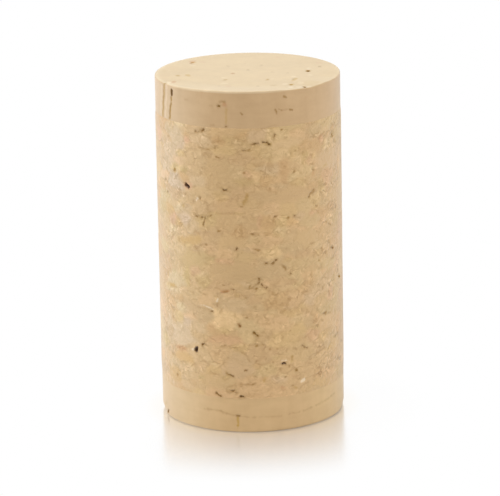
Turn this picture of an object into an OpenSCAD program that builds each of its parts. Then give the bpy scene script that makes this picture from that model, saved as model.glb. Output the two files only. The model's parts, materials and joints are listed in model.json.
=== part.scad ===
// Two-disc technical cork stopper.
// A moulded body of cork granules carries a disc of natural cork glued to each end.
// The origin is the centre of the lower end face, and +Z runs up the stopper's axis.
// Angles run round the axis from the front (-Y) towards +X, in degrees.

/* [Stopper] */
// Overall length, from one end face to the other
stopper_len = 44; // [33:0.5:60]
// Diameter of the moulded body, the widest part of the stopper
body_d = 23.55; // [18:0.05:34]

/* [End discs] */
// Thickness of each natural cork disc
disc_thick = 4.5; // [3:0.1:8]
// How far the body stands proud of each disc, measured on the radius
disc_step = 0.075; // [0:0.025:0.5]
// Radius of the rounded edge round each end face
rim_r = 0.35; // [0.1:0.05:1]

/* [Pores] */
// Depth of the open pores below the surface
pore_depth = 0.7; // [0.2:0.05:1.5]
// Size of the pores against the ones of the real stopper
pore_scale = 1; // [0.5:0.05:1.5]
// Number of open pores spread over the back half of the body
back_pores = 24; // [0:1:60]
// Width of an open lenticel channel in the side of a disc
channel_w = 0.6; // [0.2:0.05:1.2]

/* [Hidden] */
$fn = 96;

body_len = stopper_len - 2 * disc_thick;
body_r = body_d / 2;
disc_r = body_r - disc_step;
natural_cork = [0.86, 0.75, 0.58];
moulded_cork = [0.82, 0.69, 0.50];

// Open pores in a wall: [angle, level, length, width, slope].
// The level is 0 at the piece's lower face and 1 at its upper face.
// The slope is measured from the level direction, rising to the right.
body_pores = [
    [-34, 0.979, 0.40, 0.25, 15],
    [-28, 0.986, 0.40, 0.25, 20],
    [15, 0.971, 0.60, 0.25, 60],
    [11, 0.942, 1.20, 0.25, -15],
    [63, 0.921, 0.70, 0.25, -15],
    [-53, 0.823, 0.60, 0.35, 40],
    [-42, 0.777, 0.90, 0.50, -25],
    [-16, 0.776, 1.00, 0.25, -12],
    [41, 0.734, 1.40, 0.25, 30],
    [-29, 0.657, 1.20, 0.20, 65],
    [15, 0.511, 0.70, 0.25, 30],
    [60, 0.511, 0.80, 0.25, -5],
    [10, 0.504, 0.90, 0.25, -5],
    [72, 0.386, 0.80, 0.25, -15],
    [52, 0.280, 0.80, 0.20, -8],
    [-8, 0.277, 0.60, 0.35, -50],
    [2, 0.244, 0.80, 0.25, -40],
    [-32, 0.194, 0.70, 0.20, 35],
    [34, 0.176, 1.00, 0.20, -15],
    [-37, 0.171, 0.90, 0.45, 45],
    [20, 0.127, 0.60, 0.30, 0],
    [-4, 0.106, 0.50, 0.25, -20],
    [28, 0.094, 0.40, 0.30, 60],
    [-14, 0.086, 1.10, 0.20, -20],
    [-12, 0.029, 0.90, 0.25, 0],
    [-23, 0.016, 1.00, 0.25, -35],
];
top_side_pores = [
    [23, 0.82, 0.35, 0.25, 0],
    [-54, 0.80, 1.00, 0.50, 88],
    [-18, 0.62, 0.45, 0.40, 0],
    [20, 0.49, 0.50, 0.20, -20],
    [27, 0.44, 0.60, 0.20, -10],
    [17, 0.42, 0.60, 0.20, -75],
    [-4, 0.42, 0.45, 0.20, -60],
    [-14, 0.08, 0.35, 0.30, 0],
];
bottom_side_pores = [
    [-10, 0.49, 0.55, 0.30, 0],
    [-70, 0.14, 0.60, 0.35, 35],
];

// Lenticels that open in the upper end face: [angle, share of the radius, length, width, slope].
// The slope is measured from +X.
top_face_pores = [
    [89, 0.66, 0.65, 0.40, 60],
    [37, 0.98, 0.60, 0.40, 50],
    [37, 0.79, 0.60, 0.40, 70],
    [52, 0.62, 0.50, 0.35, 80],
    [30, 0.43, 0.50, 0.25, 80],
    [-75, 0.16, 0.40, 0.35, 0],
    [-63, 0.88, 0.50, 0.30, 45],
    [-132, 0.80, 0.65, 0.40, 75],
];

// Lenticel channels that the side of the upper disc lays open: [angle, lower level, upper level].
open_channels = [
    [-63, 0, 1],
    [-54, 0, 0.90],
];

// Position i of an even scatter between 0 and 1.
function spread(i, step) = (i * step) % 1;

// One of the pores scattered over the back of the body, which spans these angles.
function back_pore(i) = [
    95 + 170 * spread(i + 1, 0.7549),
    0.04 + 0.92 * spread(i + 1, 0.5698),
    0.4 + 0.8 * spread(i + 1, 0.6180),
    0.2 + 0.2 * spread(i + 1, 0.3247),
    60 * (spread(i + 1, 0.8192) - 0.5),
];

// A slot with round ends, centred on the origin and standing pore_depth to either side of it.
module pore(length, width) {
    w = width * pore_scale;
    run = max(length * pore_scale - w, 0);
    translate([0, 0, -pore_depth])
        linear_extrude(height = 2 * pore_depth)
            union() {
                square([run, w], center = true);
                for (end = [-1, 1])
                    translate([end * run / 2, 0]) circle(d = w);
            }
}

// Pores that open in the round wall of a piece of this radius and height.
module wall_pores(list, wall_r, height) {
    for (p = list)
        rotate([0, 0, p[0]])
            translate([0, -wall_r, p[1] * height])
                rotate([90, 0, 0])
                    rotate([0, 0, p[4]])
                        pore(p[2], p[3]);
}

// Pores that open in a flat end face.
module face_pores(list, face_r) {
    for (p = list)
        rotate([0, 0, p[0]])
            translate([0, -p[1] * face_r, 0])
                rotate([0, 0, p[4] - p[0]])
                    pore(p[2], p[3]);
}

// A half-round channel down the side of a disc.
module channel(angle, low, high) {
    over = high >= 1 ? rim_r : 0;
    rotate([0, 0, angle])
        translate([0, -disc_r, low * disc_thick - rim_r])
            cylinder(d = channel_w, h = (high - low) * disc_thick + rim_r + over);
}

// A plain disc on its glued face, with the outer edge rounded.
module disc_blank() {
    rotate_extrude()
        union() {
            square([disc_r - rim_r, disc_thick]);
            square([disc_r, disc_thick - rim_r]);
            translate([disc_r - rim_r, disc_thick - rim_r])
                intersection() {
                    circle(r = rim_r);
                    square(rim_r);
                }
        }
}

module top_disc() {
    color(natural_cork)
        translate([0, 0, stopper_len - disc_thick])
            difference() {
                disc_blank();
                wall_pores(top_side_pores, disc_r, disc_thick);
                translate([0, 0, disc_thick]) face_pores(top_face_pores, disc_r);
                for (c = open_channels) channel(c[0], c[1], c[2]);
            }
}

module agglomerated_body() {
    color(moulded_cork)
        translate([0, 0, disc_thick])
            difference() {
                cylinder(r = body_r, h = body_len);
                wall_pores(body_pores, body_r, body_len);
                wall_pores([for (i = [0:1:back_pores - 1]) back_pore(i)], body_r, body_len);
            }
}

module bottom_disc() {
    color(natural_cork)
        difference() {
            translate([0, 0, disc_thick]) mirror([0, 0, 1]) disc_blank();
            wall_pores(bottom_side_pores, disc_r, disc_thick);
        }
}

top_disc();
agglomerated_body();
bottom_disc();
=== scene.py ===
# %% [markdown]
# # A two-disc cork stopper
#
# A stopper of this kind is three pieces in one. The body is moulded from cork granules and a little
# glue, and a disc of natural cork is glued to each end, so that only whole cork meets the wine.
# All three are ground together on a wheel, so the sides are smooth and the joins hardly show.
#
# The lesson builds each piece as one closed mesh of its own. The fine things that catch the eye are
# open pores, thin glued joints between the granules, and a tone that changes from granule to granule.
# Pores are modelled as real hollows, and the tones are written onto the mesh for the materials to read.

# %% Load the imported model
import json
import math
from types import SimpleNamespace

import bmesh
import bpy
import numpy as np
from mathutils import Matrix, Vector, noise
from mathutils.geometry import delaunay_2d_cdt

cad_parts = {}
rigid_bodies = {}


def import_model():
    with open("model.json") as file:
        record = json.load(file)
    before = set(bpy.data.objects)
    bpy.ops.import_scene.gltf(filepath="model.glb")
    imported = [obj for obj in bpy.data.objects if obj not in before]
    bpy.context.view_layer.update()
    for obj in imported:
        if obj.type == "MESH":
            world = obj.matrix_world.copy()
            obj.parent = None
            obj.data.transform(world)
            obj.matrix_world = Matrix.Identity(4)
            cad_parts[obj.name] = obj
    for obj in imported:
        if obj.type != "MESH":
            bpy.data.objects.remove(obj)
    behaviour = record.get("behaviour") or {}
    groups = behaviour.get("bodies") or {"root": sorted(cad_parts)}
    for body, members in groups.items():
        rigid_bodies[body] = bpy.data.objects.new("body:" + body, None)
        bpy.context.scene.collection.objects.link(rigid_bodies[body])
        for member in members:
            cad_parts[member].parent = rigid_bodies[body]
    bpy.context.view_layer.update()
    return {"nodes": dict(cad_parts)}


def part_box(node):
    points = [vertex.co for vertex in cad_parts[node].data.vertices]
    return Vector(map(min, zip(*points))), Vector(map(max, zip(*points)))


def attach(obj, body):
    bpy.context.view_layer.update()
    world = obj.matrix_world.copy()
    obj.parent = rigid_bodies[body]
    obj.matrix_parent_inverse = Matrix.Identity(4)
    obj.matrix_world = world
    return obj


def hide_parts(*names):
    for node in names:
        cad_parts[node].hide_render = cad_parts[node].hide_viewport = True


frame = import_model()

# %% [markdown]
# ## Sizes
#
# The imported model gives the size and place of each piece. The mesh work below is done in
# millimetres, because noise and pore sizes are easier to judge in them, and the last step of each
# piece turns them into metres. Angles run round the axis from the front towards the right.

# %% Sizes of the three pieces
MM = 0.001
# rounding of the upper rim, of the foot and of the glued edges, in millimetres
TOP_RIM = 0.16
FOOT_RIM = 0.22
ARRIS = 0.01


def size_of(node):
    """Outer radius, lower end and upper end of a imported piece, in millimetres."""
    low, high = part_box(node)
    return high.x / MM, low.z / MM, high.z / MM


for node in sorted(frame["nodes"]):
    print(node, "radius %.3f, from %.2f to %.2f mm" % size_of(node))

# %% [markdown]
# ## A turned blank
#
# Each piece starts as a plain round blank, as it would leave the grinding wheel. A stock cylinder
# would have long thin faces, which can hold neither a pore nor a granule's outline. So the wall is
# laid as rows of nearly equal triangles, the edges are rounded by a few closer rows, and the end
# faces are filled by a Delaunay triangulation over a lattice of points.

# %% The wall and its rounded edges
ROW_SHARE = math.sqrt(3) / 2


def edge_rows(radius, rounding, steps):
    """Points (r, rise) of a rounded edge, from the wall round to the end face."""
    turns = np.linspace(0, math.pi / 2, steps + 1)
    return np.stack([radius - rounding * (1 - np.cos(turns)), rounding * np.sin(turns)], 1)


def profile_rows(radius, low, high, edges, spacing):
    """Points (r, z) up the outside of a blank. edges gives the rounding and its steps, low then high."""
    (low_round, low_steps), (high_round, high_steps) = edges
    lower = edge_rows(radius, low_round, low_steps)[::-1]
    upper = edge_rows(radius, high_round, high_steps)
    lower[:, 1] = low + low_round - lower[:, 1]
    upper[:, 1] = high - high_round + upper[:, 1]
    rows = math.ceil((high - high_round - low - low_round) / (spacing * ROW_SHARE))
    levels = np.linspace(low + low_round, high - high_round, rows + 1)[1:-1]
    wall = np.stack([np.full(len(levels), radius), levels], 1)
    return np.concatenate([lower, wall, upper])


def wall_mesh(profile, columns):
    """Points and triangles of the wall. Every second row is turned by half a step."""
    rows = len(profile)
    step = 2 * math.pi / columns
    row, column = np.meshgrid(np.arange(rows), np.arange(columns), indexing="ij")
    angle = (column + 0.5 * (row % 2)) * step
    r, z = profile[row, 0], profile[row, 1]
    points = np.stack([r * np.sin(angle), -r * np.cos(angle), z], -1).reshape(-1, 3)
    faces = []
    for j in range(rows - 1):
        here = np.arange(columns) + j * columns
        ahead = np.roll(np.arange(columns), -1) + j * columns
        if j % 2 == 0:
            faces += [np.stack([here, ahead, here + columns], 1)]
            faces += [np.stack([ahead, ahead + columns, here + columns], 1)]
        else:
            faces += [np.stack([here, ahead, ahead + columns], 1)]
            faces += [np.stack([here, ahead + columns, here + columns], 1)]
    return points, np.concatenate(faces)


# %% The end faces and the whole blank
def lattice(reach, spacing):
    """Points of a triangular lattice inside a circle."""
    rows = int(reach / (spacing * ROW_SHARE)) + 1
    columns = int(reach / spacing) + 1
    row, column = np.meshgrid(np.arange(-rows, rows + 1), np.arange(-columns, columns + 1))
    x = (column + 0.5 * (row % 2)) * spacing
    y = row * spacing * ROW_SHARE
    inside = np.hypot(x, y) < reach
    return np.stack([x[inside], y[inside]], 1)


def end_face(ring, spacing, faces_up):
    """Lattice points inside a ring, and triangles over both. The ring's points come first."""
    reach = np.hypot(ring[0, 0], ring[0, 1]) - 0.7 * spacing
    inner = lattice(reach, spacing)
    flat = [Vector(p) for p in np.concatenate([ring[:, :2], inner])]
    rim = [(i, (i + 1) % len(ring)) for i in range(len(ring))]
    placed, _, faces, came_from, _, _ = delaunay_2d_cdt(flat, rim, [], 1, 1e-6)
    assert len(placed) == len(flat) and all(c == [i] for i, c in enumerate(came_from))
    faces = np.array(faces)
    return inner, faces if faces_up else faces[:, ::-1]


def turned_blank(node, edges, spacing, end_spacings, inset=0.0):
    """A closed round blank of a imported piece's size, with the rounding and the lattice of each end."""
    radius, low, high = size_of(node)
    radius -= inset
    columns = round(2 * math.pi * radius / spacing)
    points, faces = wall_mesh(profile_rows(radius, low, high, edges, spacing), columns)
    wall_count = len(points)
    rings = [(0, low, False, end_spacings[0]), (wall_count - columns, high, True, end_spacings[1])]
    for start, level, faces_up, lattice_step in rings:
        inner, cap = end_face(points[start : start + columns], lattice_step, faces_up)
        index = np.concatenate([np.arange(start, start + columns), len(points) + np.arange(len(inner))])
        points = np.concatenate([points, np.column_stack([inner, np.full(len(inner), level)])])
        faces = np.concatenate([faces, index[cap]])
    rounds = [edge[0] for edge in edges]
    return SimpleNamespace(points=points, faces=faces, radius=radius, low=low, high=high, rounds=rounds)


# share of the radius beyond which a point between the rounded edges belongs to the wall
WALL_FROM = 0.97


def seat(blank, points):
    """Brings points onto the blank's true surface, and gives the outward normal at each."""
    outward = points[:, :2] / np.maximum(np.hypot(*points[:, :2].T), 1e-9)[:, None]
    r, z = np.hypot(*points[:, :2].T), points[:, 2]
    low_round, high_round = blank.rounds
    on_low = (z < blank.low + low_round) & (r > blank.radius - low_round)
    on_high = (z > blank.high - high_round) & (r > blank.radius - high_round)
    rounding = np.where(on_high, high_round, low_round)
    level = np.where(on_high, blank.high - high_round, blank.low + low_round)
    across, rise = r - (blank.radius - rounding), z - level
    length = np.maximum(np.hypot(across, rise), 1e-9)
    across, rise = across / length, rise / length
    on_wall = (z >= blank.low + low_round) & (z <= blank.high - high_round) & (r > WALL_FROM * blank.radius)
    on_edge = (on_low | on_high) & ~on_wall
    side = np.where(on_wall, 1.0, np.where(on_edge, across, 0.0))
    tip = np.where(on_wall, 0.0, np.where(on_edge, rise, np.sign(z - (blank.low + blank.high) / 2)))
    edge_r = blank.radius - rounding + rounding * across
    true_r = np.where(on_wall, blank.radius, np.where(on_edge, edge_r, r))
    true_z = np.where(on_edge, level + rounding * rise, z)
    seated = np.column_stack([outward * true_r[:, None], true_z])
    return seated, np.column_stack([outward * side[:, None], tip])


# %% [markdown]
# ## Marks in the cork
#
# Cork breathes through lenticels, and where one is cut it shows as a brown pore or a channel. In the
# moulded body, gaps between the granules stay open as small dark holes and slits, and bits of bark
# leave brown, rusty and ochre stains. Each mark here is a slot with round ends, laid on the surface
# by its angle and its level, which is 0 at the piece's lower end and 1 at its upper end. A kind says
# how deep the mark goes, how soft its outline is, and how strongly it is tinted.

# %% Kinds of mark
TINTS = ("dark", "brown", "rust", "ochre", "pale")
# depth and softness of the outline in millimetres, then the tints
MARK_KINDS = {
    "pore": (0.55, 0.14, {"dark": 0.85, "brown": 1.0}),
    "slit": (0.20, 0.18, {"dark": 0.03, "brown": 0.96}),
    "dot": (0.05, 0.22, {"brown": 0.90}),
    "line": (0.02, 0.24, {"brown": 0.47}),
    "stain": (0.0, 0.30, {"brown": 0.36}),
    "rust": (0.0, 0.30, {"rust": 0.50}),
    "ochre": (0.0, 0.30, {"ochre": 0.50}),
    "pale": (0.0, 0.18, {"pale": 0.60}),
    "channel": (0.12, 0.30, {"brown": 0.26, "ochre": 0.34}),
}


def make_mark(kind, centre, along, outward, length, width, strength):
    return SimpleNamespace(kind=kind, centre=centre, along=along, across=np.cross(outward, along),
                           outward=outward, run=max(length - width, 0.0), half_width=width / 2,
                           strength=strength)


def wall_mark(node, kind, angle, level, length, width, slope, strength=1.0):
    """A mark on the side of a piece. The slope is in degrees from level, rising to the right."""
    radius, low, high = size_of(node)
    turn, tilt = math.radians(angle), math.radians(slope)
    outward = np.array([math.sin(turn), -math.cos(turn), 0.0])
    right = np.array([math.cos(turn), math.sin(turn), 0.0])
    up = np.array([0.0, 0.0, 1.0])
    centre = outward * radius + up * (low + level * (high - low))
    along = right * math.cos(tilt) + up * math.sin(tilt)
    return make_mark(kind, centre, along, outward, length, width, strength)


def face_mark(node, kind, angle, share, length, width, slope, strength=1.0):
    """A mark in the upper end face, at a share of the radius. The slope is in degrees from +X."""
    radius, _, high = size_of(node)
    turn, tilt = math.radians(angle), math.radians(slope)
    centre = np.array([share * radius * math.sin(turn), -share * radius * math.cos(turn), high])
    along = np.array([math.cos(tilt), math.sin(tilt), 0.0])
    return make_mark(kind, centre, along, np.array([0.0, 0.0, 1.0]), length, width, strength)


# a mark reaches this far above and below its own plane, and what lies beyond counts as far away
MARK_REACH = 0.4
FAR = 99.0


def gap_to(mark, points):
    """Distance from points to a mark's outline, below zero inside it."""
    offset = points - mark.centre
    beyond = np.maximum(np.abs(offset @ mark.along) - mark.run / 2, 0)
    gap = np.hypot(beyond, offset @ mark.across) - mark.half_width
    return np.where(np.abs(offset @ mark.outward) < MARK_REACH, gap, FAR)


# %% Open pores of the body
# each row: kind, angle, level, length, width, slope, strength
BODY_PORES = [
    ("slit", -33.5, 0.978, 0.40, 0.24, 15, 0.5), ("slit", -28.3, 0.987, 0.42, 0.26, 20, 0.68),
    ("slit", 15.6, 0.971, 0.60, 0.22, 60, 0.6), ("slit", 10.3, 0.946, 0.90, 0.24, -8, 0.85),
    ("slit", 12.5, 0.938, 0.55, 0.26, -45, 0.9), ("slit", 62.5, 0.923, 0.70, 0.30, -18, 0.45),
    ("slit", -52.5, 0.823, 0.60, 0.38, 45, 0.45), ("pore", -41.5, 0.776, 0.80, 0.44, -28, 1.0),
    ("slit", -43.8, 0.783, 0.30, 0.15, -30, 0.4), ("slit", -15.0, 0.775, 0.62, 0.26, 3, 0.95),
    ("slit", 38.9, 0.728, 0.50, 0.28, 50, 0.5), ("slit", 41.0, 0.741, 1.10, 0.28, 28, 0.45),
    ("slit", -29.0, 0.652, 1.10, 0.24, 70, 0.55), ("slit", -29.6, 0.667, 0.65, 0.22, 0, 0.62),
    ("slit", 9.2, 0.506, 0.36, 0.26, 0, 0.6), ("slit", 13.1, 0.503, 0.36, 0.26, 10, 0.65),
    ("slit", 15.4, 0.513, 0.42, 0.26, 30, 0.75), ("slit", 61.2, 0.512, 0.70, 0.26, -12, 0.8),
    ("slit", 72, 0.385, 0.90, 0.28, -15, 0.7), ("slit", 51.5, 0.280, 0.80, 0.26, -8, 0.65),
    ("slit", -7.6, 0.275, 0.55, 0.35, -62, 0.65), ("slit", 2.2, 0.243, 0.90, 0.28, -42, 0.75),
    ("slit", -31.8, 0.193, 0.65, 0.22, 30, 0.95), ("slit", 34, 0.176, 0.95, 0.28, -25, 0.66),
    ("pore", -37.2, 0.169, 0.78, 0.42, 42, 0.95), ("pore", 19.8, 0.126, 0.55, 0.32, 0, 0.6),
    ("slit", -4.2, 0.107, 0.45, 0.25, -20, 0.55), ("slit", 28, 0.094, 0.36, 0.34, 60, 0.6),
    ("slit", -14.5, 0.089, 1.15, 0.24, -22, 0.62), ("slit", -12.2, 0.083, 0.35, 0.26, 0, 0.7),
    ("slit", -12.5, 0.029, 0.56, 0.25, 12, 0.8), ("slit", -10.7, 0.024, 0.45, 0.22, -35, 0.62),
    ("slit", -23.4, 0.015, 0.42, 0.30, -12, 0.68), ("slit", -21.7, 0.010, 0.75, 0.20, -35, 0.7),
]


def even_scatter(i, step):
    """Position i of an even scatter between 0 and 1."""
    return ((i + 1) * step) % 1


BACK_PORES = 24
BACK_PORE_STRENGTH = 0.85
# one in this many is deep
DEEP_EVERY = 6


def back_pore(i):
    """One of the pores scattered over the back of the body."""
    kind = "pore" if i % DEEP_EVERY == 0 else "slit"
    angle = 95 + 170 * even_scatter(i, 0.7549)
    level = 0.04 + 0.92 * even_scatter(i, 0.5698)
    length = 0.4 + 0.8 * even_scatter(i, 0.6180)
    width = 0.2 + 0.2 * even_scatter(i, 0.3247)
    slope = 60 * (even_scatter(i, 0.8192) - 0.5)
    return kind, angle, level, length, width, slope, BACK_PORE_STRENGTH


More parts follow.
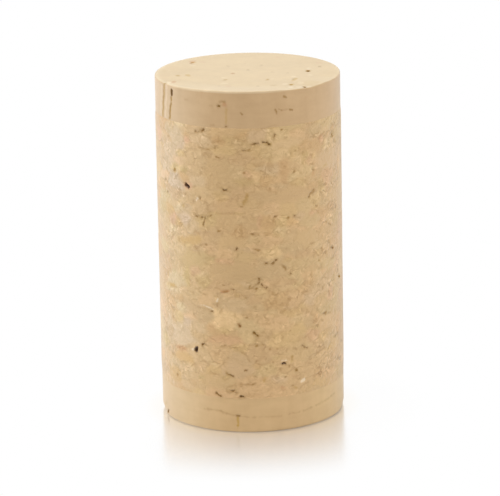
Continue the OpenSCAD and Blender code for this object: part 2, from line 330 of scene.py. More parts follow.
# %% Small marks on the body
# each row: angle, level, length, width, slope, strength
BODY_MARKS = {
    "line": [
        (-30.6, 0.981, 0.8, 0.16, 12, 0.27), (-28.5, 0.921, 1.3, 0.19, -6, 0.81),
        (-21, 0.926, 0.9, 0.2, 88, 0.9), (-1, 0.923, 0.8, 0.18, 5, 1.2),
        (-17.7, 0.78, 0.4, 0.22, -35, 0.7), (-1.8, 0.751, 0.8, 0.38, 75, 0.68),
        (-3.2, 0.731, 0.9, 0.38, 65, 0.68), (-15, 0.689, 2.6, 0.27, 2, 0.36),
        (-40.5, 0.631, 1.3, 0.34, 80, 0.45), (-7.8, 0.534, 0.6, 0.16, 80, 0.72),
        (-24.5, 0.557, 0.8, 0.16, 0, 0.54), (-34, 0.537, 1.3, 0.2, -55, 0.45),
        (-28, 0.517, 1.3, 0.2, 5, 0.45), (-23.5, 0.526, 0.7, 0.16, 40, 0.54),
        (-66, 0.963, 2, 0.2, -3, 0.63), (26, 0.82, 0.6, 0.16, 30, 0.54), (29, 0.783, 1.5, 0.2, -3, 0.54),
        (1.5, 0.766, 0.7, 0.2, 15, 0.63), (14.7, 0.66, 0.9, 0.2, 85, 0.63),
        (30, 0.661, 0.9, 0.18, -20, 0.81), (37.5, 0.543, 0.8, 0.24, 45, 0.72),
        (41.5, 0.553, 1, 0.24, 2, 0.81), (-31, 0.384, 1.2, 0.2, -10, 0.81),
        (-41, 0.384, 1.2, 0.16, -3, 0.72), (-31, 0.327, 2, 0.16, -6, 0.54),
        (-7, 0.177, 2.2, 0.18, -38, 0.54), (-2, 0.146, 0.8, 0.2, -45, 0.72),
        (-25, 0.129, 3, 0.16, 0, 0.45), (-27, 0.091, 0.5, 0.27, -60, 0.63),
        (-24.5, 0.086, 0.9, 0.27, 5, 0.63), (-3.5, 0.053, 1.3, 0.16, 0, 0.72),
        (2, 0.421, 1.1, 0.3, 30, 1.08), (63.5, 0.48, 1.2, 0.27, 30, 0.85),
        (22.3, 0.349, 1.4, 0.27, 80, 0.63), (20, 0.323, 0.8, 0.27, 30, 0.63),
        (8.5, 0.28, 1, 0.27, 5, 0.54), (8.5, 0.24, 1.4, 0.16, -45, 0.45),
        (27, 0.174, 0.8, 0.27, -30, 0.72), (65.8, 0.901, 0.8, 0.38, -25, 0.72),
        (11.2, 0.503, 0.6, 0.19, 0, 0.63), (53, 0.278, 2.3, 0.34, -12, 0.63),
        (-29.4, 0.205, 0.8, 0.16, 40, 0.81),
    ],
    "dot": [
        (-58.5, 0.94, 0.5, 0.3, 10, 0.4), (-25.5, 0.937, 0.2, 0.15, 0, 0.5),
        (-25, 0.917, 0.4, 0.15, -20, 0.7), (-19, 0.894, 0.4, 0.25, -15, 1.1),
        (-3, 0.837, 0.35, 0.22, -30, 0.8), (-36, 0.774, 0.4, 0.2, 20, 0.28),
        (-43, 0.743, 0.35, 0.25, 40, 0.8), (-36, 0.723, 0.35, 0.15, -10, 0.6),
        (-61, 0.731, 0.5, 0.2, 20, 1.1), (-13, 0.743, 0.25, 0.12, 0, 0.6),
        (-7.5, 0.737, 0.4, 0.2, -60, 0.4), (-17, 0.734, 0.3, 0.2, 0, 0.3),
        (-5, 0.714, 0.35, 0.15, 10, 0.8), (-24.5, 0.677, 0.3, 0.18, 45, 0.7),
        (-19, 0.623, 0.5, 0.2, 5, 0.8), (-5.5, 0.543, 0.3, 0.1, 80, 0.4),
        (-28, 0.569, 0.4, 0.2, 5, 0.8), (20.5, 0.987, 0.35, 0.25, 0, 1.0),
        (23, 0.957, 0.4, 0.2, 5, 0.7), (29, 0.903, 0.4, 0.15, 10, 0.7), (22, 0.854, 0.45, 0.15, 0, 0.6),
        (50, 0.94, 0.6, 0.2, 20, 0.7), (41.5, 0.846, 0.5, 0.18, -5, 0.7), (43, 0.823, 0.4, 0.2, 0, 0.8),
        (28, 0.831, 0.3, 0.25, 50, 0.8), (12.8, 0.777, 0.45, 0.15, -40, 0.6),
        (16, 0.76, 0.4, 0.15, 80, 0.6), (45, 0.689, 0.45, 0.22, -25, 1.1),
        (23, 0.663, 0.5, 0.15, 0, 0.8), (5.5, 0.609, 0.25, 0.12, 0, 0.7),
        (9.7, 0.609, 0.4, 0.2, 0, 0.9), (2.5, 0.56, 0.4, 0.22, -10, 0.55),
        (4.8, 0.554, 0.25, 0.15, 0, 0.8), (58.5, 0.9, 0.5, 0.2, 0, 0.4),
        (-17.5, 0.423, 0.3, 0.15, -20, 0.6), (-16, 0.399, 0.6, 0.15, 0, 0.6),
        (-22, 0.38, 0.35, 0.15, 10, 0.6), (-3.5, 0.377, 0.35, 0.22, 0, 1.1),
        (-3.3, 0.303, 0.35, 0.24, 0, 1.2), (-1, 0.417, 0.6, 0.2, 60, 0.8),
        (-10.5, 0.311, 0.5, 0.2, -50, 0.3), (-17, 0.2, 0.4, 0.12, 0, 0.5),
        (-15.5, 0.154, 0.25, 0.2, 0, 0.6), (0.3, 0.057, 0.5, 0.15, 15, 0.8),
        (3.4, 0.411, 0.3, 0.2, 0, 0.9), (20.3, 0.483, 0.9, 0.35, -50, 0.7),
        (47, 0.48, 0.4, 0.25, -40, 0.9), (45, 0.297, 0.4, 0.15, -20, 0.4),
        (49, 0.254, 0.5, 0.2, -10, 0.5), (2, 0.34, 0.4, 0.3, 0, 0.3), (24, 0.243, 0.3, 0.15, 30, 0.5),
        (2.8, 0.2, 0.3, 0.15, 0, 0.6), (-1, 0.203, 0.3, 0.15, 0, 0.5), (7, 0.197, 0.4, 0.2, -50, 0.5),
        (10.5, 0.184, 0.3, 0.2, 0, 0.7), (15.5, 0.183, 0.3, 0.15, 0, 0.7),
        (2.5, 0.14, 0.5, 0.15, 30, 0.5), (12.7, 0.134, 0.25, 0.2, 0, 0.6),
        (25, 0.14, 0.6, 0.15, 85, 0.5), (23, 0.111, 0.3, 0.2, 0, 0.6), (20.5, 0.071, 0.3, 0.15, 0, 0.8),
        (25.5, 0.037, 0.3, 0.15, 0, 0.6), (30.5, 0.057, 0.35, 0.18, -50, 0.8),
    ],
    "slit": [
        (-3, 0.92, 0.5, 0.2, 10, 0.75), (-32, 0.737, 0.5, 0.14, 85, 0.5),
        (-34.3, 0.669, 0.42, 0.22, 0, 0.4), (-24.2, 0.677, 0.5, 0.2, 50, 0.3),
        (-9, 0.557, 0.4, 0.27, 50, 0.85), (1, 0.614, 0.35, 0.28, 0, 0.5),
        (3.5, 0.941, 1.1, 0.18, 8, 0.7), (15.5, 0.674, 0.3, 0.22, 20, 0.5),
        (28, 0.669, 0.3, 0.25, 0, 0.75), (56.5, 0.609, 1.4, 0.18, -28, 0.35),
        (-11.8, 0.407, 0.5, 0.18, 5, 0.5), (-25.3, 0.32, 0.4, 0.25, 10, 0.6),
        (-7.3, 0.054, 0.35, 0.22, 30, 0.9), (-7.3, 0.007, 0.6, 0.24, 3, 1.2),
        (-54.5, 0.054, 0.5, 0.35, 20, 0.4), (-50, 0.164, 0.8, 0.18, 12, 0.35),
        (5, 0.446, 0.4, 0.25, 90, 0.65), (4.9, 0.434, 0.35, 0.22, 60, 0.6),
        (7, 0.424, 0.9, 0.2, -55, 0.6), (9, 0.413, 0.3, 0.22, 0, 0.6),
        (24.7, 0.457, 0.3, 0.22, -10, 0.5), (16.5, 0.106, 0.3, 0.2, 0, 0.4),
    ],
    "stain": [
        (-50.5, 0.84, 1, 0.3, 35, 0.8), (-53, 0.82, 1, 0.7, 60, 0.6), (-62.5, 0.771, 0.9, 0.3, -10, 1.8),
        (-67, 0.723, 1.2, 0.2, 10, 1), (-49.3, 0.569, 0.5, 0.3, 80, 1), (-70, 0.629, 1, 0.3, 15, 0.8),
        (67, 0.897, 1.3, 0.25, -20, 1.3), (64.5, 0.963, 1.2, 0.3, -25, 1), (60, 0.68, 1.2, 0.2, 0, 1),
        (60, 0.657, 0.8, 0.2, -5, 1), (73, 0.554, 1.5, 0.2, -5, 1), (68, 0.849, 1, 0.3, -30, 0.7),
        (-48, 0.331, 0.9, 0.3, 80, 0.8), (-59, 0.126, 1, 0.4, -10, 1.2), (-64.5, 0.423, 1, 0.3, 55, 1),
        (-68, 0.209, 1.2, 0.5, 10, 1), (61, 0.471, 0.8, 0.25, 0, 1), (58.5, 0.374, 1, 0.2, -25, 1),
        (76, 0.346, 1, 0.2, -25, 1.2), (65.5, 0.176, 1.4, 0.3, 10, 2.2),
        (76, 0.134, 1.5, 0.25, -15, 1.3), (70.5, 0.08, 1.4, 0.3, -15, 1.8),
    ],
    "rust": [
        (-59.5, 0.763, 0.6, 0.25, -20, 0.5), (-42, 0.697, 0.4, 0.15, 0, 0.4),
        (-7.8, 0.276, 0.6, 0.38, -62, 1.0),
        (-56.5, 0.569, 0.6, 0.35, 20, 0.5), (50, 0.937, 0.8, 0.25, 10, 0.4),
        (42.5, 0.809, 0.8, 0.3, 85, 0.4), (-16.5, 0.4, 1.2, 0.3, 5, 1),
        (61.5, 0.117, 1.8, 0.2, 20, 0.6), (18.5, 0.034, 0.6, 0.35, -20, 0.6),
        (26, 0.07, 1, 0.12, -3, 0.5),
    ],
    "pale": [
        (-34, 0.731, 0.45, 0.3, 60, 0.8), (-29, 0.337, 1.6, 0.12, -10, 0.8),
        (-21.5, 0.366, 0.55, 0.3, 75, 1), (-25, 0.331, 0.5, 0.15, -15, 0.9),
        (19.6, 0.136, 0.7, 0.2, 0, 1), (32.5, 0.05, 0.9, 0.4, 8, 1.0), (-39.6, 0.166, 0.5, 0.3, 30, 1.0),
    ],
    "ochre": [
        (-2.4, 0.742, 1.7, 0.4, 72, 0.5), (11.5, 0.941, 1.3, 0.3, -15, 0.5), (2.1, 0.244, 1.0, 0.4, -42, 0.5),
        (-48, 0.711, 0.6, 0.35, 30, 0.4), (-45, 0.697, 0.4, 0.25, 50, 0.7),
        (54, 0.826, 0.8, 0.3, 5, 0.5), (-58.5, 0.386, 1.3, 0.3, 5, 1), (47, 0.48, 0.5, 0.35, -40, 0.6),
        (25, 0.137, 1, 0.3, 85, 0.6), (7, 0.071, 0.7, 0.3, 75, 0.7), (56, 0.14, 1.4, 0.3, 10, 0.5),
        (27, 0.029, 0.4, 0.2, -30, 0.8), (-52.4, 0.823, 0.6, 0.45, 45, 1.1),
        (72.2, 0.383, 1.1, 0.36, -15, 1.1),
        (-16, 0.093, 0.7, 0.3, -30, 0.6), (28, 0.094, 0.4, 0.4, 0, 0.5),
    ],
}

# %% [markdown]
# The back of the stopper gets marks of the same kinds, in the same mixture, at random places.

# %% Small marks on the back
BACK_MARKS = 130
BACK_KINDS = {"dot": 0.42, "line": 0.28, "stain": 0.14, "rust": 0.06, "ochre": 0.06, "pale": 0.04}
LONG_KINDS = ("line", "stain", "ochre")
# least and greatest length, in millimetres
LONG, SHORT = (0.6, 1.8), (0.2, 0.5)
back_rng = np.random.default_rng(7)


def back_mark():
    """A small mark somewhere on the back of the body."""
    kind = str(back_rng.choice(list(BACK_KINDS), p=list(BACK_KINDS.values())))
    angle = back_rng.uniform(80, 280)
    level = back_rng.uniform(0.01, 0.99)
    length = back_rng.uniform(*(LONG if kind in LONG_KINDS else SHORT))
    width = back_rng.uniform(0.12, 0.25)
    slope = back_rng.normal(0, 30)
    return kind, angle, level, length, width, slope, back_rng.uniform(0.5, 1.0)


body_rows = BODY_PORES + [back_pore(i) for i in range(BACK_PORES)]
body_rows += [(kind, *row) for kind, rows in BODY_MARKS.items() for row in rows]
body_rows += [back_mark() for _ in range(BACK_MARKS)]
body_marks = [wall_mark("agglomerated_body", *row) for row in body_rows]
print("marks on the body:", len(body_marks))

# %% [markdown]
# In the discs the lenticels run straight through the thickness, so the side shows them as upright
# lines and channels and the face as small dots. A darker year's growth crosses the lower disc as a
# faint wavy line.

# %% Marks on the discs
TOP_SIDE_MARKS = [
    ("dot", 23, 0.82, 0.35, 0.25, 0, 0.7), ("pore", -54, 0.80, 0.90, 0.38, 88, 0.5),
    ("slit", -18, 0.62, 0.46, 0.38, 0, 0.62), ("dot", 20, 0.49, 0.50, 0.20, -20, 0.8),
    ("dot", 27, 0.44, 0.60, 0.20, -10, 0.8), ("dot", 17, 0.42, 0.70, 0.18, -75, 0.8),
    ("dot", -4, 0.42, 0.45, 0.20, -60, 0.7), ("slit", -13.5, 0.05, 0.35, 0.28, 0, 0.4),
    ("channel", -64, 0.50, 4.60, 0.42, 82, 0.75), ("channel", -55.5, 0.35, 2.90, 0.32, 80, 0.95),
    ("dot", -56, 0.40, 0.45, 0.30, 80, 0.35), ("dot", -57, 0.20, 0.50, 0.35, 80, 0.5),
    ("pale", -60.5, 0.50, 4.20, 0.25, 82, 0.4), ("pale", -68, 0.50, 4.00, 0.35, 82, 0.3),
    ("stain", -15.5, 0.74, 0.90, 0.25, 0, 1.3), ("rust", -14.4, 0.66, 0.60, 0.50, 0, 0.8),
    ("ochre", -13.4, 0.34, 1.90, 0.26, 89, 0.7), ("stain", -23, 0.60, 0.40, 0.15, 0, 0.5),
    ("rust", -29.5, 0.85, 0.60, 0.15, 80, 0.2), ("stain", -41, 0.70, 0.60, 0.20, 0, 0.5),
    ("line", 23.5, 0.45, 1.30, 0.14, -4, 0.5), ("rust", 38, 0.72, 0.50, 0.30, 0, 0.2),
    ("stain", -22, 0.07, 0.70, 0.20, 0, 0.5), ("stain", 15, 0.03, 1.60, 0.12, 0, 0.5),
]
BOTTOM_SIDE_MARKS = [
    ("slit", -10, 0.49, 0.50, 0.28, 0, 0.52), ("slit", -70, 0.12, 0.80, 0.40, 35, 0.8),
    ("line", -28, 0.60, 1.90, 0.24, 3, 0.5), ("line", -20, 0.575, 1.50, 0.24, -18, 0.6),
    ("line", -14.5, 0.51, 1.00, 0.24, -12, 0.5), ("line", -4, 0.455, 2.20, 0.14, -4, 0.5),
    ("line", 10, 0.445, 3.00, 0.14, 0, 0.35), ("line", 26, 0.47, 1.60, 0.16, 4, 0.5),
    ("line", 36, 0.51, 1.60, 0.24, 12, 0.45), ("line", 47, 0.575, 2.20, 0.24, 9, 0.5),
    ("line", 57.5, 0.63, 2.40, 0.26, 8, 0.6), ("ochre", -10, 0.36, 1.00, 0.24, 90, 1.2),
    ("ochre", -10.3, 0.19, 0.40, 0.30, 0, 1.4), ("ochre", -10, 0.09, 0.60, 0.12, 90, 0.4),
    ("ochre", -75, 0.27, 1.60, 0.35, 30, 0.7), ("line", 7, 0.975, 2.80, 0.14, 0, 0.2),
    ("line", -12, 0.985, 2.60, 0.12, 0, 0.4), ("rust", 66, 0.16, 1.40, 0.25, -10, 0.25),
]
# each row: kind, angle, share of the radius, length, width, slope, strength
TOP_FACE_MARKS = [
    ("slit", 89.3, 0.654, 0.96, 0.40, 96, 1.2), ("ochre", 89.3, 0.654, 1.11, 0.65, 95, 1.84),
    ("pale", 101, 0.675, 0.89, 0.52, 94, 0.31), ("pale", 73.8, 0.703, 0.89, 0.65, 96, 0.26),
    ("slit", -130.4, 0.791, 0.74, 0.36, 72, 0.37), ("ochre", -133.1, 0.813, 1.41, 0.60, 97, 1.73),
    ("rust", -133.6, 0.83, 1.63, 0.7, 78, 0.8), ("rust", -138.8, 0.739, 1.33, 0.8, 94, 0.31),
    ("pale", -122.5, 0.699, 0.75, 0.65, 71, 0.26), ("ochre", -71.6, 0.162, 0.89, 0.44, 77, 1.37),
    ("rust", -71.6, 0.162, 0.81, 0.42, 77, 1.03), ("dot", -68.7, 0.165, 0.59, 0.3, 79, 0.34),
    ("dot", -81.5, 0.756, 0.81, 0.34, 104, 0.34), ("ochre", -81.5, 0.756, 1.11, 0.45, 104, 1.94),
    ("ochre", -80.2, 0.651, 1.26, 0.6, 102, 1.84), ("rust", -62.9, 0.883, 0.96, 0.5, 88, 1.25),
    ("ochre", -62.9, 0.883, 1.11, 0.55, 88, 1.37), ("pale", -63.1, 0.944, 1.18, 0.65, 78, 0.44),
    ("dot", 52.3, 0.615, 0.96, 0.28, 71, 0.71), ("ochre", 51.7, 0.640, 1.63, 0.45, 71, 2.1),
    ("rust", 42.5, 0.696, 0.74, 0.35, 83, 0.62), ("slit", 35.6, 0.799, 0.74, 0.4, 72, 0.35),
    ("ochre", 36.3, 0.795, 1.11, 0.6, 72, 1.25), ("pale", 30.8, 0.885, 0.9, 0.78, 91, 0.44),
    ("pale", 32.6, 0.730, 1.18, 0.65, 77, 0.31), ("pale", 62.7, 0.558, 0.67, 0.52, 86, 0.35),
    ("pale", 45.4, 0.792, 1.33, 0.65, 102, 0.26), ("slit", 39, 0.955, 0.67, 0.34, 96, 1.28),
    ("pale", 36.7, 0.916, 0.89, 0.65, 47, 0.35), ("pale", 43.2, 0.961, 0.74, 0.52, 45, 0.26),
    ("dot", 28, 0.445, 0.89, 0.30, 86, 0.48), ("ochre", 28, 0.445, 1.04, 0.42, 86, 1.6),
    ("pale", 36.4, 0.446, 0.89, 0.39, 75, 0.22), ("dot", -33.1, 0.439, 0.81, 0.5, 59, 0.41),
    ("ochre", -33.1, 0.439, 0.96, 0.5, 59, 1.14), ("pale", -46, 0.357, 0.74, 0.52, 102, 0.26),
    ("dot", -24.2, 0.731, 0.89, 0.34, 92, 0.25), ("rust", -16.9, 0.706, 0.96, 0.7, 98, 0.46),
    ("pale", -25.1, 0.585, 1.05, 0.91, 97, 0.26), ("dot", 8.9, 0.718, 0.89, 0.4, 102, 0.27),
    ("dot", 21.8, 0.736, 0.89, 0.7, 80, 0.16), ("ochre", 21.8, 0.736, 1.04, 0.8, 80, 0.68),
    ("dot", 175.2, 0.103, 0.89, 0.36, 94, 0.31), ("dot", -146.3, 0.370, 1.18, 0.34, 96, 0.27),
    ("dot", 153.4, 0.344, 1.26, 0.32, 92, 0.27), ("dot", -177.7, 0.428, 0.96, 0.3, 77, 0.16),
    ("dot", 104.6, 0.813, 0.81, 0.4, 77, 0.49), ("rust", 116.8, 0.872, 1.33, 0.8, 99, 0.33),
    ("dot", 78.7, 0.436, 0.74, 0.34, 83, 0.21), ("dot", 84.5, 0.266, 0.89, 0.3, 91, 0.18),
    ("dot", -105.9, 0.560, 0.59, 0.5, 77, 0.18), ("rust", 155.1, 0.792, 1.18, 0.6, 91, 0.36),
    ("rust", -108.6, 0.857, 1.84, 1.6, 75, 0.16), ("ochre", -98.2, 0.898, 1.63, 0.6, 86, 0.27),
    ("ochre", -106, 0.757, 4.2, 3.0, 88, 0.10), ("ochre", -145, 0.889, 3.0, 2.0, 88, 0.10),
    ("ochre", 124.5, 0.830, 4.4, 3.0, 88, 0.10), ("ochre", 106, 0.846, 1.18, 1.0, 77, 0.16),
    ("rust", -82, 0.900, 3.4, 1.2, 88, 0.12), ("rust", 36, 0.300, 5.0, 1.6, 88, 0.05),
]

top_marks = [wall_mark("top_disc", *row) for row in TOP_SIDE_MARKS]
top_marks += [face_mark("top_disc", *row) for row in TOP_FACE_MARKS]
bottom_marks = [wall_mark("bottom_disc", *row) for row in BOTTOM_SIDE_MARKS]
print("marks on the discs:", len(top_marks), len(bottom_marks))

# %% [markdown]
# ## Finer faces where they are needed
#
# A pore is only a quarter of a millimetre wide, so near each crisp mark the triangles are split
# twice, and near a soft stain once. The rest of the surface keeps its larger triangles, which saves
# most of the mesh.

# %% Splitting the triangles near the marks
# how far from an outline each round of splitting reaches, in millimetres
REFINE_REACHES = (0.24, 0.08)
# an outline softer than this is split once only
CRISP = 0.2


def nearest_gap(marks, points):
    """Distance from each point to the outline of the nearest mark."""
    nearest = np.full(len(points), FAR)
    for mark in marks:
        nearest = np.minimum(nearest, gap_to(mark, points))
    return nearest


def points_of(bm):
    return np.array([v.co for v in bm.verts])


def refined(blank, marks):
    """Points and triangles of the blank, with the triangles near the marks split."""
    bm = bmesh.new()
    verts = [bm.verts.new(p) for p in blank.points]
    for face in blank.faces:
        bm.faces.new([verts[i] for i in face])
    for step, reach in enumerate(REFINE_REACHES):
        bm.verts.index_update()
        chosen = [m for m in marks if step == 0 or MARK_KINDS[m.kind][1] < CRISP]
        near = nearest_gap(chosen, points_of(bm)) < reach
        edges = [e for e in bm.edges if near[e.verts[0].index] or near[e.verts[1].index]]
        bmesh.ops.subdivide_edges(bm, edges=edges, cuts=1, use_grid_fill=True)
        bmesh.ops.triangulate(bm, faces=bm.faces[:])
    bm.verts.index_update()
    points = points_of(bm)
    faces = np.array([[v.index for v in f.verts] for f in bm.faces])
    bm.free()
    return points, faces


# %% [markdown]
# ## Tones of cork
#
# Granules are milled from many planks, so each has a tone of its own: most are plain straw or tan,
# some are paler, greyer or rosier, and a few have ochre bark or rust in them.

# %% Tones of the granules
TONES = {
    "straw": (0.556, 0.361, 0.168),
    "tan": (0.524, 0.332, 0.157),
    "cream": (0.660, 0.446, 0.208),
    "pale": (0.607, 0.433, 0.218),
    "bright": (0.790, 0.548, 0.288),
    "ash": (0.568, 0.396, 0.218),
    "lilac": (0.549, 0.381, 0.229),
    "drab": (0.512, 0.347, 0.172),
    "olive": (0.506, 0.342, 0.127),
    "sage": (0.549, 0.391, 0.178),
    "honey": (0.588, 0.391, 0.163),
    "orange": (0.628, 0.370, 0.148),
    "ochre": (0.536, 0.319, 0.112),
    "umber": (0.530, 0.314, 0.129),
    "rosy": (0.594, 0.332, 0.175),
    "russet": (0.512, 0.296, 0.116),
    "rust": (0.500, 0.247, 0.090),
    "shell": (0.628, 0.396, 0.198),
}
# how often each tone comes up among the granules that are thrown on
TONE_SHARES = {"straw": 0.36, "tan": 0.20, "honey": 0.08, "pale": 0.06, "ash": 0.06, "shell": 0.06,
               "drab": 0.05, "umber": 0.05, "olive": 0.03, "sage": 0.03, "rosy": 0.02}
print("shares add up to", round(sum(TONE_SHARES.values()), 3))

# %% [markdown]
# ## Granules
#
# The body's granules are chips of one to five millimetres, pressed flat along the axis in the mould.
# On the ground wall they show as a mosaic. The mosaic here is a Voronoi pattern: each granule has a
# centre, a width, a height and a tilt, and a point of the wall belongs to the granule whose ellipse
# it lies deepest in. The granules that catch the eye at the front are laid one by one from a list.
# Others are then thrown on at random, the large ones first, and smaller ones fill the gaps.

# %% Granules laid one by one
# each row: angle, level, half width, half height, tilt
LAID_GRANULES = {
    "russet": [
        (-19, 0.954, 0.7, 0.5, 0),
    ],
    "olive": [
        (-13.5, 0.961, 0.7, 0.35, 0), (-72, 0.671, 1.4, 0.9, 0), (36, 0.88, 0.5, 0.7, 0),
        (67, 0.614, 1, 0.9, 0), (50.5, 0.751, 0.6, 0.8, 0), (70, 0.923, 1.2, 1, 0),
        (-43.5, 0.434, 0.4, 1.1, 0), (-30, 0.434, 1, 0.7, 0), (-71, 0.171, 1.3, 1, 0),
        (72, 0.037, 1.2, 0.8, 0),
    ],
    "honey": [
        (-15.5, 0.917, 1.4, 0.55, 0), (4, 0.917, 0.6, 0.6, 0), (27.5, 0.914, 0.6, 0.5, 0),
        (25, 0.697, 1, 0.8, 0), (43, 0.711, 0.8, 0.55, 0), (20, 0.651, 0.7, 0.55, 0),
        (74.5, 0.734, 0.8, 0.8, 0), (-52, 0.277, 0.7, 0.6, 0), (-24.5, 0.106, 0.65, 0.5, 0),
        (-63.5, 0.38, 0.7, 0.3, 0), (24, 0.311, 1.1, 0.5, 0), (17, 0.234, 1, 0.42, 0),
        (49.5, 0.191, 0.75, 0.5, 0),
    ],
    "ash": [
        (-30.5, 0.951, 1.1, 0.75, 0), (-50.5, 0.946, 0.95, 1.2, 0), (-62, 0.843, 1.1, 1.2, 0),
        (-38, 0.626, 0.85, 0.8, 17), (-12, 0.357, 1.9, 0.95, 0), (-35, 0.254, 1.1, 0.9, 0),
        (-63, 0.249, 0.7, 0.8, 0), (-49, 0.206, 2, 1, 0), (-8.5, 0.151, 1.5, 0.9, -20),
    ],
    "tan": [
        (-36, 0.871, 1.7, 1.6, 0), (-19, 0.834, 1.9, 2, 0), (-15, 0.714, 1.5, 0.75, 0),
        (-33, 0.7, 1.3, 0.8, 0), (-25, 0.6, 1.2, 1, 0), (-68, 0.857, 0.9, 1.5, 0),
        (8, 0.749, 1.5, 0.65, 0), (28, 0.746, 2.1, 0.95, 0), (1, 0.651, 0.9, 0.8, 0),
        (-9, 0.477, 2.5, 1.5, 0), (18, 0.429, 1.3, 0.7, 0), (27, 0.363, 1, 1, 0),
        (8, 0.231, 0.9, 0.75, 0), (5, 0.171, 1.5, 0.95, 0),
    ],
    "umber": [
        (-42, 0.966, 0.45, 0.35, 0), (-6, 0.623, 0.9, 0.8, 0), (11.5, 0.809, 0.65, 0.5, 0),
        (22, 0.849, 0.6, 1.4, 0), (43, 0.917, 1.6, 0.75, 0), (43, 0.814, 0.35, 0.5, 0),
        (10, 0.643, 0.8, 0.9, 0), (52, 0.66, 1, 0.6, 0), (60.5, 0.669, 1, 0.6, 0),
        (42, 0.763, 0.7, 0.4, 0), (66, 0.534, 2, 0.5, -14), (74, 0.506, 0.8, 0.4, 0),
        (-40, 0.04, 0.5, 0.4, 0), (-51.5, 0.349, 0.7, 0.4, 10), (-64, 0.423, 0.6, 0.5, 0),
        (-67, 0.26, 1.3, 0.3, 0), (15.5, 0.357, 1.35, 1.15, 0), (36, 0.423, 0.3, 0.8, 0),
        (41, 0.426, 0.4, 0.8, 0), (44.5, 0.271, 0.65, 0.6, 0), (45.5, 0.063, 0.8, 0.65, 0),
    ],
    "rosy": [
        (-41.5, 0.946, 0.4, 0.4, 0), (-73, 0.934, 0.9, 1, 0), (-55, 0.64, 0.8, 0.5, 0),
        (-15, 0.511, 1.1, 0.4, 0), (50.5, 0.926, 0.4, 0.5, 0), (5.5, 0.657, 0.25, 0.8, 0),
        (57, 0.786, 1, 1.1, 0), (-17, 0.22, 1.9, 0.55, 0), (-36.5, 0.466, 0.6, 0.5, 0),
        (41.5, 0.214, 0.75, 0.8, 0), (58.5, 0.343, 0.8, 0.8, 0), (75, 0.314, 0.7, 0.8, 0),
    ],
    "lilac": [
        (-46.5, 0.917, 0.6, 0.6, 0), (-53, 0.78, 1.3, 1, 0), (-44, 0.654, 0.85, 0.65, 0),
        (5, 0.974, 1.1, 0.65, 0), (13, 0.849, 0.9, 0.5, 0), (-43, 0.271, 0.55, 0.45, 0),
        (37.5, 0.346, 0.65, 0.75, 0), (16.3, 0.066, 0.75, 0.45, 0),
    ],
    "ochre": [
        (-69, 0.746, 0.8, 0.6, 0), (-59.5, 0.669, 0.65, 0.8, 0), (-49.5, 0.634, 0.55, 0.55, 0),
        (-41, 0.574, 1.7, 0.4, 14), (-48.5, 0.129, 1.8, 0.65, 0), (-58, 0.051, 1.2, 0.95, 0),
        (-58.5, 0.386, 0.8, 0.25, 0),
    ],
    "orange": [
        (-74, 0.746, 0.6, 0.7, 0), (-76, 0.7, 0.7, 0.4, 0), (27.5, 0.646, 0.8, 0.38, 0),
        (74, 0.814, 0.8, 1.2, 0), (-76, 0.1, 0.8, 0.5, 0), (69.5, 0.223, 0.9, 1.2, 0),
    ],
    "pale": [
        (-49.5, 0.686, 0.6, 0.35, 0), (-56, 0.6, 0.8, 0.4, 10), (-9, 0.843, 0.7, 0.9, 0),
        (18, 0.971, 1.3, 0.7, 0), (31, 0.877, 0.35, 0.75, 35), (27, 0.806, 0.45, 0.35, 0),
        (36, 0.826, 1.4, 0.45, 0), (2.5, 0.591, 0.9, 0.6, 0), (46, 0.543, 0.6, 0.5, 0),
        (-3.5, 0.234, 0.7, 0.6, 0), (-56.5, 0.369, 0.8, 0.3, 0),
    ],
    "shell": [
        (-25, 0.54, 0.6, 0.3, 0), (-14, 0.537, 0.95, 0.45, 0), (-6.3, 0.703, 0.4, 0.35, 0),
        (30, 0.971, 1, 0.6, 0), (16.5, 0.809, 0.5, 0.4, 0), (14.5, 0.709, 0.7, 0.6, -17),
        (27.5, 0.627, 0.6, 0.3, 0), (50.5, 0.626, 0.6, 0.4, 0), (13, 0.589, 1.3, 0.45, 0),
        (-29, 0.363, 1.2, 0.75, 0), (9.5, 0.431, 0.5, 0.3, 0), (52, 0.443, 0.75, 0.35, 0),
        (19, 0.26, 1.4, 0.5, 0), (56, 0.051, 1.15, 0.8, 0),
    ],
    "straw": [
        (-14, 0.657, 1.3, 0.9, 0), (-36, 0.223, 1, 0.6, 0), (-22, 0.054, 1.8, 0.8, 0),
        (-20, 0.169, 1.6, 1, 0),
    ],
    "drab": [
        (45, 0.974, 1.2, 0.55, 0), (26, 0.589, 0.8, 0.9, 0), (-31, 0.306, 1.3, 0.75, 0),
        (37.5, 0.269, 0.75, 0.65, 0),
    ],
    "sage": [
        (10.5, 0.909, 0.8, 0.7, 0), (35, 0.7, 1.2, 0.9, 0), (40, 0.637, 1.4, 0.75, 0),
        (33, 0.486, 2, 0.65, 0), (56, 0.457, 1.4, 0.8, 0), (10, 0.109, 1.1, 0.5, 0),
        (64, 0.343, 0.7, 0.9, 0),
    ],
    "cream": [
        (2, 0.86, 0.5, 0.4, 0), (3.8, 0.829, 0.4, 0.5, 0), (60, 0.634, 0.8, 0.5, 0),
        (12, 0.54, 1.05, 0.75, 0), (-21.3, 0.366, 0.28, 0.4, 0),
        (5.5, 0.403, 0.5, 0.35, 0), (38.3, 0.429, 0.25, 0.6, 0), (32.5, 0.051, 0.45, 0.28, 0),
    ],
    "bright": [
        (-16.5, 0.294, 1.7, 1.15, -6),
    ],
    "rust": [
        (-50, 0.16, 1.2, 0.32, 6),
    ],
}

# %% Throwing the other granules
rng = np.random.default_rng(44)
BODY_R, BODY_LOW, BODY_HIGH = size_of("agglomerated_body")
GIRTH = 2 * math.pi * BODY_R

# least and greatest half width, and how many throws
THROWS = [((1.8, 2.6), 900), ((1.2, 1.8), 1600), ((0.8, 1.2), 2600), ((0.4, 0.8), 5200)]
